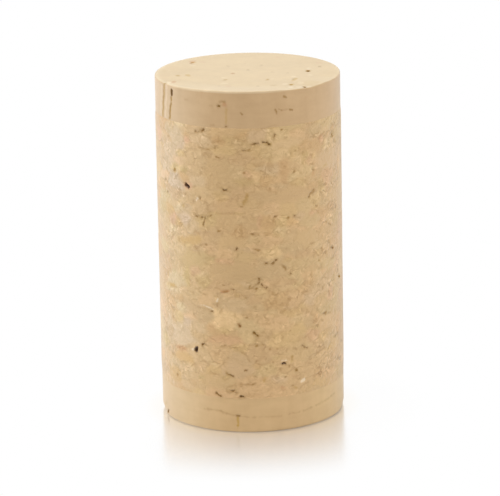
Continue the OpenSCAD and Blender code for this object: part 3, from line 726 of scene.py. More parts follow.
# least and greatest height against the width, and the spread of the tilt in radians
FLATNESS = (0.38, 0.70)
TILT = 0.22
# how far beyond the wall's ends a centre may fall, and how close two granules may lie: at 1 they touch
BEYOND = 0.5
ROOM = 0.72


def round_wall(distance):
    """The short way round the wall, in millimetres."""
    return (distance + GIRTH / 2) % GIRTH - GIRTH / 2


def laid_granule(angle, level, half_width, half_height, tilt):
    arc, height = math.radians(angle) * BODY_R, BODY_LOW + level * (BODY_HIGH - BODY_LOW)
    return arc, height, half_width, half_height, math.radians(tilt)


def thrown_granules(laid):
    """Rows of arc, height, half width, half height and tilt. laid rows keep their place."""
    rows = np.zeros((len(laid) + sum(throws for _, throws in THROWS), 5))
    rows[: len(laid)] = laid
    count = len(laid)
    for (least, most), throws in THROWS:
        for _ in range(throws):
            arc = rng.uniform(-GIRTH / 2, GIRTH / 2)
            height = rng.uniform(BODY_LOW - BEYOND, BODY_HIGH + BEYOND)
            half_width = rng.uniform(least, most)
            half_height = half_width * rng.uniform(*FLATNESS)
            tilt = rng.normal(0, TILT)
            placed = rows[:count]
            across = round_wall(arc - placed[:, 0]) / (half_width + placed[:, 2])
            rise = (height - placed[:, 1]) / (half_height + placed[:, 3])
            if np.min(across**2 + rise**2) > ROOM:
                rows[count] = (arc, height, half_width, half_height, tilt)
                count += 1
    return rows[:count]


laid_rows = [(name, laid_granule(*row)) for name, rows in LAID_GRANULES.items() for row in rows]
granules = thrown_granules([row for _, row in laid_rows])
print("granules:", len(laid_rows), "laid,", len(granules), "in all")

# %% [markdown]
# This stopper gets a painted highlight round to the left, where most lamps stand: the colour is made paler
# and greyer there. One broad change of tone does this for the body and the discs alike. It is worked out
# from the angle alone, because it has no outline to draw.

# %% The painted highlight on the left side
# most of all at this angle, fading out over this many degrees
LEFT_HIGHLIGHT_AT, LEFT_HIGHLIGHT_OVER = -52, 38
# what the painted highlight adds to red, green and blue
LEFT_HIGHLIGHT_TURN = (0.0, 0.07, 0.18)


def soft_step(value):
    """0 below 0, 1 above 1, smooth between."""
    value = np.clip(value, 0, 1)
    return value * value * (3 - 2 * value)


def paler_aside(degrees):
    """0 to 1, how much of the painted highlight on the left side shows at an angle."""
    return soft_step(1 - np.abs(degrees - LEFT_HIGHLIGHT_AT) / LEFT_HIGHLIGHT_OVER)


print("paler at", LEFT_HIGHLIGHT_AT, "degrees by", paler_aside(LEFT_HIGHLIGHT_AT), "and at the front by", paler_aside(0))

# %% [markdown]
# Neighbouring granules differ in tone, but only a little. So each one is taken part of the way from
# plain straw to its own tone, and further round to the left, where this stopper is more motley. Every
# granule also gets a small shift of its own, so that no two are quite alike.

# %% A tone for every granule
# how far granules go from straw towards their own tone, and how far between the motley part's angles
TONE_DEPTH = 0.57
MOTLEY_DEPTH = 0.80
MOTLEY_FROM, MOTLEY_TO = -100, -40
# share of their own hue that granules outside the motley part keep
OWN_HUE = 0.76
# what each channel adds to brightness
BRIGHTNESS = np.array([0.3, 0.6, 0.1])
# spread of each granule's own shift, in all channels together and in each
SHIFT, HUE_SHIFT = 0.015, 0.005

shares = list(TONE_SHARES.values())
drawn = rng.choice(len(shares), len(granules), p=np.array(shares) / sum(shares))
drawn = [name for name, _ in laid_rows] + [list(TONE_SHARES)[i] for i in drawn[len(laid_rows):]]
shift = 1 + rng.normal(0, SHIFT, (len(granules), 1)) + rng.normal(0, HUE_SHIFT, (len(granules), 3))
plain = np.array(TONES["straw"])
granule_angle = np.degrees(granules[:, 0] / BODY_R)
motley = (granule_angle > MOTLEY_FROM) & (granule_angle < MOTLEY_TO)
tone_depth = np.where(motley, MOTLEY_DEPTH, TONE_DEPTH)[:, None]
granule_tones = plain + tone_depth * (np.array([TONES[name] for name in drawn]) - plain)
as_bright = plain * (granule_tones @ BRIGHTNESS / (plain @ BRIGHTNESS))[:, None]
granule_tones = (as_bright + np.where(motley, 1, OWN_HUE)[:, None] * (granule_tones - as_bright)) * shift
# the painted highlight on the left side, laid into the granules' colour
granule_tones *= 1 + paler_aside(granule_angle)[:, None] * np.array(LEFT_HIGHLIGHT_TURN)
print("mean tone of the granules:", np.round(granule_tones.mean(0), 3))

# %% [markdown]
# Small chips look crumpled and broad ones smooth. So wrinkling is drawn at random and falls with a
# granule's width, and the sides of this stopper get more of it than the front. Each granule also gets
# a direction for its grain, and stands a few thousandths of a millimetre up or down.

# %% Wrinkles, grain and height of every granule
WRINKLING = (0.3, 1.2)
# a granule wider than this on either side of its centre loses this much wrinkling for each millimetre
BROAD_FROM = 0.8
BROAD_LOSS = 0.35
SIDE_FROM = 43
LEFT_WRINKLE = 1.4
RIGHT_WRINKLE = 1.9
# spread of the heights, in millimetres
RISE = 0.006

granule_wrinkle = rng.uniform(*WRINKLING, len(granules)) - BROAD_LOSS * (granules[:, 2] - BROAD_FROM)
granule_wrinkle = np.clip(granule_wrinkle, 0.05, 1)
granule_wrinkle *= np.where(granule_angle > SIDE_FROM, RIGHT_WRINKLE, 1)
granule_wrinkle *= np.where(granule_angle < -SIDE_FROM, LEFT_WRINKLE, 1)
granule_grain = rng.uniform(0, 1, len(granules))
granule_rise = rng.normal(0, RISE, len(granules))
joint_salt = rng.uniform(0, 1, len(granules))
print("mean wrinkling:", round(float(granule_wrinkle.mean()), 3))

# %% [markdown]
# An ellipse alone would look drawn. Before a point is asked which granule it lies in, smooth noise
# pushes it aside, a broad push for the shape of the chip and a fine one for its torn edge. This bends
# every outline, and two neighbours still share one joint without a gap.
#
# Noise vectors take their start from the clock unless they get a seed. Each run would then shape the
# granules anew, so the seed is set before the first of them is used.

# %% Which granule a point belongs to
noise.seed_set(44)

# how far each push goes and the size of its waves, in millimetres
BROAD_PUSH, BROAD_WAVES = 0.30, 1.6
FINE_PUSH, FINE_WAVES = 0.13, 0.5
# the push along the axis is weaker than the one round the wall
UPWARD = 0.7
# points are looked up this many at a time, to spare memory
BATCH = 2000
# step for measuring how fast one granule gives way to the next, and the least that counts
PROBE = 0.01
LEAST_SLOPE = 0.15


def angle_of(points):
    """Angle of points round the axis, in radians."""
    return np.arctan2(points[:, 0], -points[:, 1])


def pushed(point):
    """The push on one point of the wall."""
    broad = np.array(noise.noise_vector(Vector(point) / BROAD_WAVES))
    fine = np.array(noise.noise_vector(Vector(point) / FINE_WAVES))
    return BROAD_PUSH * broad + FINE_PUSH * fine


def wobbled(points):
    """Arc and height of points on the wall, pushed about so that outlines come out irregular."""
    push = np.array([pushed(p) for p in points])
    return angle_of(points) * BODY_R + push[:, 0], points[:, 2] + UPWARD * push[:, 2]


def depth_in(which, arc, height):
    """How far points lie out from the centres of these granules: 1 is on the ellipse's outline."""
    g = granules[which]
    across, rise = round_wall(arc - g[..., 0]), height - g[..., 1]
    cos, sin = np.cos(g[..., 4]), np.sin(g[..., 4])
    along = (across * cos + rise * sin) / g[..., 2]
    over = (rise * cos - across * sin) / g[..., 3]
    return np.hypot(along, over)


def nearest_two(arc, height):
    """The two granules that each point lies deepest in."""
    best = np.zeros((len(arc), 2), int)
    for start in range(0, len(arc), BATCH):
        part = slice(start, start + BATCH)
        out = depth_in(np.arange(len(granules))[None, :], arc[part, None], height[part, None])
        two = np.argpartition(out, 1, axis=1)[:, :2]
        order = np.argsort(np.take_along_axis(out, two, 1), axis=1)
        best[part] = np.take_along_axis(two, order, 1)
    return best


def joint_distance(pair, arc, height):
    """Distance to the joint between two granules, above zero on the first one's side."""
    def lead(a, h):
        return depth_in(pair[..., 1], a, h) - depth_in(pair[..., 0], a, h)

    here = lead(arc, height)
    round_slope = (lead(arc + PROBE, height) - here) / PROBE
    up_slope = (lead(arc, height + PROBE) - here) / PROBE
    return here / np.maximum(np.hypot(round_slope, up_slope), LEAST_SLOPE)


# %% [markdown]
# ## From blank to piece
#
# A piece is its blank with the marks sunk into it. The mesh also carries what the material has to
# know about each place: how dark, brown, rusty and pale the marks make it. Pores could be cut with
# booleans instead, but moving the points gives ragged outlines and soft lips, and one closed mesh.

# %% Sinking the marks
def rough(points, size):
    """Smooth noise from -1 to 1 at points, with bumps of about this size in millimetres."""
    return np.array([noise.noise(Vector(p) / size) for p in points])


def bent(points, size, reach):
    """Points pushed about a little, so that straight marks come out bent."""
    return points + reach * np.array([noise.noise_vector(Vector(p) / size) for p in points])


# how far outlines wander and the size of their waves, in millimetres
OUTLINE_WOBBLE, WOBBLE_WAVES = 0.15, 0.35
# how far marks bend, and over what length
BEND, BEND_WAVES = 0.12, 0.9
# brown creeps this far out of the deeper marks, at this strength
HALO, HALO_STRENGTH = 0.25, 0.4
HALO_FROM_DEPTH = 0.1
# how much the brown varies from place to place, and over what length
UNEVEN, UNEVEN_WAVES = 0.6, 0.42
# width of the slope from the lip to the bottom, and the share of it that lies outside the outline
LIP, LIP_OUTSIDE = 0.12, 0.2


def sunk_marks(points, marks):
    """Depth of the marks at points, and how strongly they tint the place."""
    depth = np.zeros(len(points))
    tints = {name: np.zeros(len(points)) for name in TINTS}
    ragged = OUTLINE_WOBBLE * rough(points, WOBBLE_WAVES)
    uneven = np.clip(1.0 + UNEVEN * rough(points, UNEVEN_WAVES), 0.75, 1.15)
    aside = bent(points, BEND_WAVES, BEND)
    for mark in marks:
        deep, softness, strengths = MARK_KINDS[mark.kind]
        gap = gap_to(mark, aside) + ragged
        inside = soft_step(0.5 - gap / softness)
        halo = soft_step(1 - gap / HALO) * HALO_STRENGTH if deep > HALO_FROM_DEPTH else 0.0
        depth = np.maximum(depth, deep * mark.strength * soft_step(-gap / LIP + LIP_OUTSIDE))
        for name, strength in strengths.items():
            shown = np.maximum(inside, halo) * uneven if name == "brown" else inside
            tints[name] = np.maximum(tints[name], np.minimum(strength * mark.strength * shown, 1))
    return depth, tints


# %% [markdown]
# Each mesh carries a flat map, onto which its material can be baked. The wall is cut
# into strips and laid flat, the end face that can be seen lies beside it at full size, and the glued
# end, which nobody sees, is small.

# %% A flat map for baking
def add_values(mesh, name, kind, domain, values):
    """Writes values onto a mesh under a name, for a material to read."""
    attribute = mesh.attributes.new(name, kind, domain)
    field = "vector" if kind == "FLOAT_VECTOR" else "value"
    attribute.data.foreach_set(field, np.asarray(values, np.float32).ravel())


# room between the parts of the map, in millimetres, and the scale of the glued end on it
BETWEEN = 0.5
ABOVE_STRIP = 0.8
GLUED_SCALE = 0.35
FLAT = 1e-4


def edge_turn(out, up):
    """How far round a rounded edge points lie, in radians, from the wall on."""
    return np.arctan2(np.maximum(up, 0), np.maximum(out, 1e-6))


def bake_map(mesh, blank, seated, faces, strips, side):
    """A map for baking: the wall in strips, the seen end at full size, the glued end small."""
    r, z = np.hypot(seated[:, 0], seated[:, 1]), seated[:, 2]
    middle = seated[faces].mean(1)
    low_round, high_round = blank.rounds
    mid_r = np.hypot(middle[:, 0], middle[:, 1])
    on_low = (mid_r < blank.radius - low_round) & (middle[:, 2] < blank.low + FLAT)
    on_high = (mid_r < blank.radius - high_round) & (middle[:, 2] > blank.high - FLAT)
    mid_angle = angle_of(middle)
    strip = np.clip(((mid_angle / (2 * math.pi) + 0.5) * strips).astype(int), 0, strips - 1)
    turn = angle_of(seated)[faces] - mid_angle[:, None]
    turn = mid_angle[:, None] + (turn + math.pi) % (2 * math.pi) - math.pi
    width = 2 * math.pi * blank.radius / strips
    height = blank.high - blank.low + ABOVE_STRIP
    arc_of = (turn / (2 * math.pi) + 0.5) * strips - strip[:, None]
    top_turn = edge_turn(r - blank.radius + high_round, z - blank.high + high_round)
    low_turn = edge_turn(r - blank.radius + low_round, blank.low + low_round - z)
    level = np.clip(z, blank.low + low_round, blank.high - high_round) - blank.low
    level = level + high_round * top_turn - low_round * low_turn + 0.3
    u = 0.4 + (strip[:, None] % 2) * (width + BETWEEN) + arc_of * width
    v = 0.3 + (strip[:, None] // 2) * height + level[faces]
    base = 0.6 + math.ceil(strips / 2) * height + blank.radius
    glued_centre = 2 * blank.radius + 2 * BETWEEN + GLUED_SCALE * blank.radius
    seen_high = high_round >= low_round
    for on_end, is_seen in ((on_high, seen_high), (on_low, not seen_high)):
        scale = 1.0 if is_seen else GLUED_SCALE
        centre = blank.radius + BETWEEN if is_seen else glued_centre
        u = np.where(on_end[:, None], centre + scale * seated[faces][..., 0], u)
        v = np.where(on_end[:, None], base + scale * seated[faces][..., 1], v)
    layer = mesh.uv_layers.new(name="OFBake")
    layer.uv.foreach_set("vector", (np.stack([u, v], -1) / side).astype(np.float32).ravel())
    print(mesh.name, "map from", np.round([u.min() / side, v.min() / side], 3), "to",
          np.round([u.max() / side, v.max() / side], 3))


# %% A piece from its blank
# edges sharper than this are shaded as edges
SHARP = math.radians(40)
# number of strips, and the length of the map's side in millimetres
BODY_MAP = {"strips": 1, "side": 76.0}
DISC_MAP = {"strips": 4, "side": 37.8}


def make_piece(name, node, slot_name, blank, marks, strips, side, dress=None):
    """Builds the piece's mesh, writes what the materials read, and puts it on its body."""
    points, faces = refined(blank, marks)
    seated, normals = seat(blank, points)
    depth, tints = sunk_marks(seated, marks)
    extra = dress(seated, faces) if dress else {}
    lift = extra.pop("lift", np.zeros(len(points)))
    placed = seated + normals * (lift - depth)[:, None]
    mesh = bpy.data.meshes.new(name)
    mesh.from_pydata((placed * MM).tolist(), [], faces.tolist())
    for label, values in tints.items():
        add_values(mesh, label, "FLOAT", "POINT", values)
    for label, (kind, domain, values) in extra.items():
        add_values(mesh, label, kind, domain, values)
    bake_map(mesh, blank, seated, faces, strips, side)
    mesh.shade_smooth()
    mesh.set_sharp_from_angle(angle=SHARP)
    piece = bpy.data.objects.new(name, mesh)
    bpy.context.scene.collection.objects.link(piece)
    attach(piece, "root")
    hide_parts(node)
    print(name, len(points), "points,", len(faces), "triangles")
    return piece


# %% [markdown]
# ## The moulded body
#
# The body is a tenth of a millimetre thicker than the discs, without a sharp step at the seams. So its
# wall starts flush with the discs and swells out over a millimetre or two. The granules rise and fall
# by hardly anything, and shallow grooves run between them. All this is shape in the mesh and not bump,
# so that the finished mesh is right by itself.

# %% Dressing the body
# how far the tones of two neighbours run into each other, in millimetres
BLEND = 0.30
# the wall starts this far inside the body's own radius at the seams, and swells by this much
INSET = 0.07
SWELL = 0.05
LOW_SWELL = 2.0
HIGH_SWELL = 0.8
# a granule's rise fades in over this far from its joint, and the groove there is this deep and wide
RISE_FADE = 0.25
GROOVE, GROOVE_WIDTH = 0.012, 0.2
# the granules lie smoother above the lower seam, except at the front
CALM = 0.75
CALM_FROM, CALM_OVER = 25, 15
CALM_HEIGHT = 2.6


def dress_body(points, faces):
    """Relief of the granules, and what the material has to know of the granules at each place."""
    arc, height = wobbled(points)
    pair = nearest_two(arc, height)
    away = np.abs(joint_distance(pair, arc, height))
    on_wall = np.hypot(points[:, 0], points[:, 1]) > BODY_R - INSET - 0.001
    groove = GROOVE * soft_step(1 - away / GROOVE_WIDTH)
    lift = granule_rise[pair[:, 0]] * soft_step(away / RISE_FADE) - groove
    to_end = np.minimum((points[:, 2] - BODY_LOW) / LOW_SWELL, (BODY_HIGH - points[:, 2]) / HIGH_SWELL)
    lift = np.where(on_wall, (lift + SWELL) * soft_step(to_end), 0.0)
    own = 0.5 + 0.5 * soft_step(away / BLEND)
    tone = granule_tones[pair[:, 0]] * own[:, None] + granule_tones[pair[:, 1]] * (1 - own[:, None])
    wrinkle = granule_wrinkle[pair[:, 0]] * own + granule_wrinkle[pair[:, 1]] * (1 - own)
    aside = soft_step((np.abs(np.degrees(angle_of(points))) - CALM_FROM) / CALM_OVER)
    wrinkle *= 1 - CALM * aside * soft_step(1 - (points[:, 2] - BODY_LOW) / CALM_HEIGHT)
    mid_arc, mid_height = arc[faces], height[faces]
    mid_arc = mid_arc[:, :1] + round_wall(mid_arc - mid_arc[:, :1])
    face_pair = nearest_two(mid_arc.mean(1), mid_height.mean(1))
    corner_pair = np.repeat(face_pair[:, None, :], 3, axis=1)
    joint = joint_distance(corner_pair, arc[faces], height[faces])
    show = (joint_salt[face_pair[:, 0]] + joint_salt[face_pair[:, 1]]) % 1
    return {
        "lift": lift,
        "tone": ("FLOAT_VECTOR", "POINT", tone),
        "wrinkle": ("FLOAT", "POINT", wrinkle),
        "joint": ("FLOAT", "CORNER", joint),
        "joint_show": ("FLOAT", "FACE", show),
        "grain_here": ("FLOAT", "FACE", granule_grain[face_pair[:, 0]]),
        "grain_there": ("FLOAT", "FACE", granule_grain[face_pair[:, 1]]),
    }


# %% The moulded body
BODY_SPACING = 0.30
# the faces of a glued end may be coarse, because nobody sees them
GLUED_SPACING = 1.5
body_blank = turned_blank("agglomerated_body", ((ARRIS, 1), (ARRIS, 1)), BODY_SPACING,
                          (GLUED_SPACING, GLUED_SPACING), INSET)
body = make_piece("cork_body", "agglomerated_body", "agglomerated_cork", body_blank, body_marks, **BODY_MAP,
                  dress=dress_body)

# %% [markdown]
# ## The two discs
#
# The ends of this stopper aren't quite even. The upper rim stands a little higher at the front left
# than at the right, and the foot is pushed in at both sides. Both are small moves of the finished mesh,
# so that the marks near them move along.

# %% Uneven cut ends
# angle, and how far the upper rim stands above or below its nominal level there, in millimetres
TOP_RIM_LEVELS = [(-90, 0.0), (-64, -0.05), (-50, 0.04), (-38, 0.12), (-22, 0.18), (-8, 0.15), (10, 0.14),
                  (20, 0.10), (28, -0.01), (43, -0.15), (56, 0.0), (72, -0.07), (90, 0.0)]
# how far the unevenness reaches in over the face and down the side, in millimetres
LEVEL_IN, LEVEL_DOWN = 4, 1.5
# angle, depth, half width and height of each place where the foot is crushed, in millimetres
FOOT_DENTS = [(-88, 0.55, 4.0, 0.80), (88, 0.22, 4.0, 0.8)]


def worn_points(disc, node):
    """The points of a disc in millimetres, with its inward distance and angle at each."""
    points = np.empty((len(disc.data.vertices), 3), np.float32)
    disc.data.vertices.foreach_get("co", points.ravel())
    points = points / MM
    inward = size_of(node)[0] - np.hypot(points[:, 0], points[:, 1])
    return points, inward, angle_of(points)


def move_points(disc, points):
    """Puts a disc's points where these say, in millimetres."""
    disc.data.vertices.foreach_set("co", (points * MM).astype(np.float32).ravel())
    disc.data.update()


def level_top(disc):
    """Raises and lowers the upper rim a little, fading out over the face and down the side."""
    points, inward, angle = worn_points(disc, "top_disc")
    _, _, high = size_of("top_disc")
    angles, levels = zip(*TOP_RIM_LEVELS)
    rise = np.interp(np.degrees(angle), angles, levels)
    fade = soft_step(1 - inward / LEVEL_IN) * soft_step(1 - (high - points[:, 2]) / LEVEL_DOWN)
    points[:, 2] += rise * fade
    move_points(disc, points)


def dent_foot(disc):
    """Pushes the lower edge in where it is crushed."""
    points, _, angle = worn_points(disc, "bottom_disc")
    radius, low, _ = size_of("bottom_disc")
    for turn, depth, half_width, height in FOOT_DENTS:
        arc = radius * np.abs((angle - math.radians(turn) + math.pi) % (2 * math.pi) - math.pi)
        push = depth * soft_step(1 - arc / half_width) * np.clip(1 - (points[:, 2] - low) / height, 0, 1)
        points[:, :2] *= (1 - push / radius)[:, None]
    move_points(disc, points)


# %% The two discs
# spacing of the points on the side, on the upper face and under the foot
DISC_SPACING = 0.18
FACE_SPACING = 0.22
FOOT_SPACING = 0.3


def make_disc(name, node, edges, end_spacings, marks):
    """A disc of natural cork."""
    blank = turned_blank(node, edges, DISC_SPACING, end_spacings)
    return make_piece(name, node, "natural_cork", blank, marks, **DISC_MAP)


top_disc = make_disc("cork_top_disc", "top_disc", ((ARRIS, 1), (TOP_RIM, 5)),
                     (GLUED_SPACING, FACE_SPACING), top_marks)
bottom_disc = make_disc("cork_bottom_disc", "bottom_disc", ((FOOT_RIM, 6), (ARRIS, 1)),
                        (FOOT_SPACING, GLUED_SPACING), bottom_marks)
level_top(top_disc)
dent_foot(bottom_disc)

# %% [markdown]
# ## Shader helpers
#
# The materials are built from many small nodes. Short helpers keep the cells below readable: they add
# a node and fill its sockets, do arithmetic, turn a range into a mask, and mix two colours.

# %% Helpers for nodes
def fill(tree, node, sockets):
    """Fills a node's sockets, by name or index, with a value or a link."""
    for key, value in sockets.items():
        if isinstance(value, bpy.types.NodeSocket):
            tree.links.new(value, node.inputs[key])
        else:
            node.inputs[key].default_value = value
    return node


def put(tree, kind, sockets=None, **settings):
    """Adds a node, sets its properties, and fills its sockets."""
    made = tree.nodes.new("ShaderNode" + kind)
    for key, value in settings.items():
        setattr(made, key, value)
    return fill(tree, made, sockets or {})


def calc(tree, operation, a, b=0.0, c=0.0):
    """The result of a Math node."""
    return put(tree, "Math", {0: a, 1: b, 2: c}, operation=operation).outputs[0]


def mask(tree, value, start, end):
    """0 where value is at start, 1 where it is at end, smooth between."""
    sockets = {"Value": value, "From Min": start, "From Max": end}
    return put(tree, "MapRange", sockets, interpolation_type="SMOOTHSTEP").outputs[0]


def mixed(tree, share, a, b):
    """Two colours mixed."""
    return put(tree, "Mix", {0: share, 6: a, 7: b}, data_type="RGBA").outputs[2]


def written(tree, name, output="Fac"):
    """What the mesh carries under this name."""
    return put(tree, "Attribute", attribute_name=name).outputs[output]


def place(tree):
    """The place on the piece, in metres."""
    return put(tree, "TexCoord").outputs["Object"]


def place_in_mm(tree):
    """The place on the piece, in millimetres."""
    return put(tree, "VectorMath", {0: place(tree), "Scale": 1 / MM}, operation="SCALE").outputs[0]


def times(tree, vector, factors):
    """A vector or colour with each part multiplied by its own factor."""
    return put(tree, "VectorMath", {0: vector, 1: factors}, operation="MULTIPLY").outputs[0]


# %% Helpers for groups and materials
def new_material(name):
    """An empty material and its node tree."""
    material = bpy.data.materials.new(name)
    material.use_nodes = True
    material.node_tree.nodes.clear()
    return material, material.node_tree


def new_group(name, inputs, outputs):
    """An empty shader group with named sockets, and its input and output nodes."""
    tree = bpy.data.node_groups.new(name, "ShaderNodeTree")
    for label, kind, value in inputs:
        socket = tree.interface.new_socket(label, in_out="INPUT", socket_type="NodeSocket" + kind)
        socket.default_value = value
    for label, kind in outputs:
        tree.interface.new_socket(label, in_out="OUTPUT", socket_type="NodeSocket" + kind)
    return tree, tree.nodes.new("NodeGroupInput").outputs, tree.nodes.new("NodeGroupOutput").inputs


def use_group(tree, group, sockets):
    """A group placed in a material, with its sockets filled."""
    return put(tree, "Group", sockets, node_tree=group).outputs


# %% [markdown]
# ## Effects that both corks share
#
# Cork is a honeycomb of tiny cells, laid down in yearly layers. Close up that reads as faint streaks
# and a fine mottle, which the first group gives. The second group lays the marks into the colour:
# bark-brown linings, rust, ochre, pale chips and the dark of an open pore.

# %% The cork grain group
# how much more green and blue change than red where cork gets darker
BROWNING = (1.0, 1.2, 1.6)


def toned(tree, colour, change):
    """A colour made darker and browner where change is below 0, and paler and greyer above it."""
    parts = {0: change, 1: BROWNING, 2: (1, 1, 1)}
    gain = put(tree, "VectorMath", parts, operation="MULTIPLY_ADD").outputs[0]
    return times(tree, colour, gain)


grain, grain_in, grain_out = new_group(
    "cork_grain",
    [("Colour", "Color", (0.5, 0.3, 0.2, 1)), ("Turn", "Float", 0.0), ("Streak Size", "Float", 1.0),
     ("Contrast", "Float", 0.1)],
    [("Colour", "Color"), ("Height", "Float")],
)
in_mm = place_in_mm(grain)
turning = calc(grain, "MULTIPLY", grain_in["Turn"], 2 * math.pi)
turned = put(grain, "VectorRotate", {"Vector": in_mm, "Axis": (0.36, 0.48, 0.80),
                                     "Angle": turning}).outputs[0]
flat_cells = times(grain, turned, (0.35, 0.5, 2.2))
streaks = put(grain, "TexNoise", {"Vector": flat_cells, "Scale": grain_in["Streak Size"], "Detail": 4.0,
                                  "Roughness": 0.6}).outputs["Fac"]
mottle = put(grain, "TexNoise", {"Vector": in_mm, "Scale": 2.6, "Detail": 5.0,
                                 "Roughness": 0.65}).outputs["Fac"]
cells = calc(grain, "ADD", calc(grain, "MULTIPLY", streaks, 0.6), calc(grain, "MULTIPLY", mottle, 0.4))
swing = calc(grain, "MULTIPLY", calc(grain, "SUBTRACT", cells, 0.5), grain_in["Contrast"])
shaded = toned(grain, grain_in["Colour"], calc(grain, "MULTIPLY", swing, 2.0))
grain.links.new(shaded, grain_out["Colour"])
grain.links.new(cells, grain_out["Height"])
print(grain.name, "holds", len(grain.nodes), "nodes")

# %% The cork marks group
BARK = (0.238, 0.112, 0.000, 1)
RUST = (0.430, 0.170, 0.050, 1)
OCHRE = (0.420, 0.235, 0.000, 1)
CHIP = (0.820, 0.690, 0.500, 1)
HOLLOW = (0.066, 0.005, 0.000, 1)

lining, lining_in, lining_out = new_group(
    "cork_marks",
    [("Colour", "Color", (0.5, 0.3, 0.2, 1)), ("Ragged", "Float", 0.5)],
    [("Colour", "Color")],
)
spot = place(lining)
frayed = put(lining, "TexNoise", {"Vector": spot, "Scale": 5.0 / MM, "Detail": 3.0}).outputs["Fac"]
fray = calc(lining, "MULTIPLY", calc(lining, "SUBTRACT", frayed, 0.5), lining_in["Ragged"])
colour = lining_in["Colour"]
for label, tint in (("pale", CHIP), ("ochre", OCHRE), ("rust", RUST), ("brown", BARK), ("dark", HOLLOW)):
    amount = written(lining, label)
    share = calc(lining, "MULTIPLY", amount, calc(lining, "ADD", fray, 1.0))
    colour = mixed(lining, share, colour, tint)
lining.links.new(colour, lining_out["Colour"])
print(lining.name, "holds", len(lining.nodes), "nodes")

# %% [markdown]
# ## Crumpled chips
#
# Many chips look folded: small waves with a brown crease here and there. The waves are painted paler and
# darker, as painted shade of the folds, and a bright lip beside each crease is a painted highlight. The
# creases follow the borders of a Voronoi pattern, which noise swirls and breaks up. The group gives a
# colour and a relief from the same pattern, so that the painted shade and the shape agree.

# %% The cork wrinkles group
# how far the pattern is swirled, in millimetres
SWIRL = 1.6
wrinkles, wrinkles_in, wrinkles_out = new_group(
    "cork_wrinkles",
    [("Colour", "Color", (0.5, 0.3, 0.2, 1)), ("Amount", "Float", 1.0)],
    [("Colour", "Color"), ("Height", "Float")],
)
in_mm = place_in_mm(wrinkles)
swirl = put(wrinkles, "TexNoise", {"Vector": in_mm, "Scale": 1.1, "Detail": 2.0}).outputs["Color"]
push = put(wrinkles, "VectorMath", {0: swirl, 1: (0.5, 0.5, 0.5)}, operation="SUBTRACT").outputs[0]
push = put(wrinkles, "VectorMath", {0: push, "Scale": SWIRL}, operation="SCALE").outputs[0]
swirled = put(wrinkles, "VectorMath", {0: in_mm, 1: push}, operation="ADD").outputs[0]
chips = times(wrinkles, swirled, (0.62, 0.62, 1.05))
edge = put(wrinkles, "TexVoronoi", {"Vector": chips, "Scale": 1.0}, feature="DISTANCE_TO_EDGE").outputs[0]
broken = put(wrinkles, "TexNoise", {"Vector": in_mm, "Scale": 1.1, "Detail": 2.0}).outputs["Fac"]
# brown creases along the borders of the chips, broken up
crease = calc(wrinkles, "MULTIPLY", mask(wrinkles, edge, 0.17, 0.0), mask(wrinkles, broken, 0.47, 0.64))
crease = calc(wrinkles, "MULTIPLY", crease, wrinkles_in["Amount"])
# a painted highlight: a bright lip beside each crease
painted_lip_highlight = calc(wrinkles, "MULTIPLY", mask(wrinkles, edge, 0.12, 0.19), mask(wrinkles, edge, 0.34, 0.19))
painted_lip_highlight = calc(wrinkles, "MULTIPLY", painted_lip_highlight, mask(wrinkles, broken, 0.50, 0.65))
# soft folds between them, painted paler and darker as painted shade
pressed = times(wrinkles, swirled, (0.8, 0.8, 1.5))
fold = put(wrinkles, "TexNoise", {"Vector": pressed, "Scale": 1.5, "Detail": 3.0,
                                  "Roughness": 0.6}).outputs["Fac"]
light = calc(wrinkles, "MULTIPLY", calc(wrinkles, "SUBTRACT", fold, 0.5), 0.62)
light = calc(wrinkles, "ADD", light, calc(wrinkles, "MULTIPLY", painted_lip_highlight, 0.16))
# the painted shade of the folds and the painted lip highlight go into the colour here
folded = toned(wrinkles, wrinkles_in["Colour"], calc(wrinkles, "MULTIPLY", light, wrinkles_in["Amount"]))
creased = mixed(wrinkles, calc(wrinkles, "MULTIPLY", crease, 0.27), folded, BARK)
wrinkles.links.new(creased, wrinkles_out["Colour"])
folds = calc(wrinkles, "MULTIPLY", fold, 2.5)
relief = calc(wrinkles, "SUBTRACT", folds, calc(wrinkles, "MULTIPLY", crease, 0.4))
wrinkles.links.new(relief, wrinkles_out["Height"])
print(wrinkles.name, "holds", len(wrinkles.nodes), "nodes")

# %% [markdown]
# ## The skin of cork
#
# Ground cork is matt, because its surface is a field of opened cells, and it shows a faint bloom
# towards the outline. A high roughness gives the first and a little sheen the second. Both corks have
# this skin, with their own colour and relief.

# %% The skin of both corks
SHEEN = 0.6
SHEEN_TINT = (1.0, 0.98, 0.92, 1)
# roughness of the smoothest cork, and how much the grain adds
SMOOTHEST = 0.70
GRAIN_ROUGHNESS = 0.15


def matt(tree, grain_height):
    """Roughness that follows the grain."""
    return calc(tree, "ADD", calc(tree, "MULTIPLY", grain_height, GRAIN_ROUGHNESS), SMOOTHEST)


def cork_shader(tree, colour, roughness, height, bump):
    """The dry, matt skin that both corks have. bump is the height of the relief in millimetres."""
    relief = put(tree, "Bump", {"Height": height, "Strength": 1.0, "Distance": bump * MM}).outputs[0]
    skin = put(tree, "BsdfPrincipled", {
        "Base Color": colour, "Roughness": roughness, "Normal": relief, "IOR": 1.45,
        "Specular IOR Level": 0.4, "Sheen Weight": SHEEN, "Sheen Roughness": 0.5, "Sheen Tint": SHEEN_TINT,
    })
    put(tree, "OutputMaterial", {"Surface": skin.outputs[0]})


# %% [markdown]
# ## Moulded cork
#
# The mesh brings the tone of each granule and the distance to the nearest joint. The material gives
# each granule a grain of its own direction, wrinkles it, and draws the joint as a thin brown line that
# comes and goes. Drawing the line from a distance keeps it fine, where a line painted on the mesh's
# points would be as coarse as its triangles.

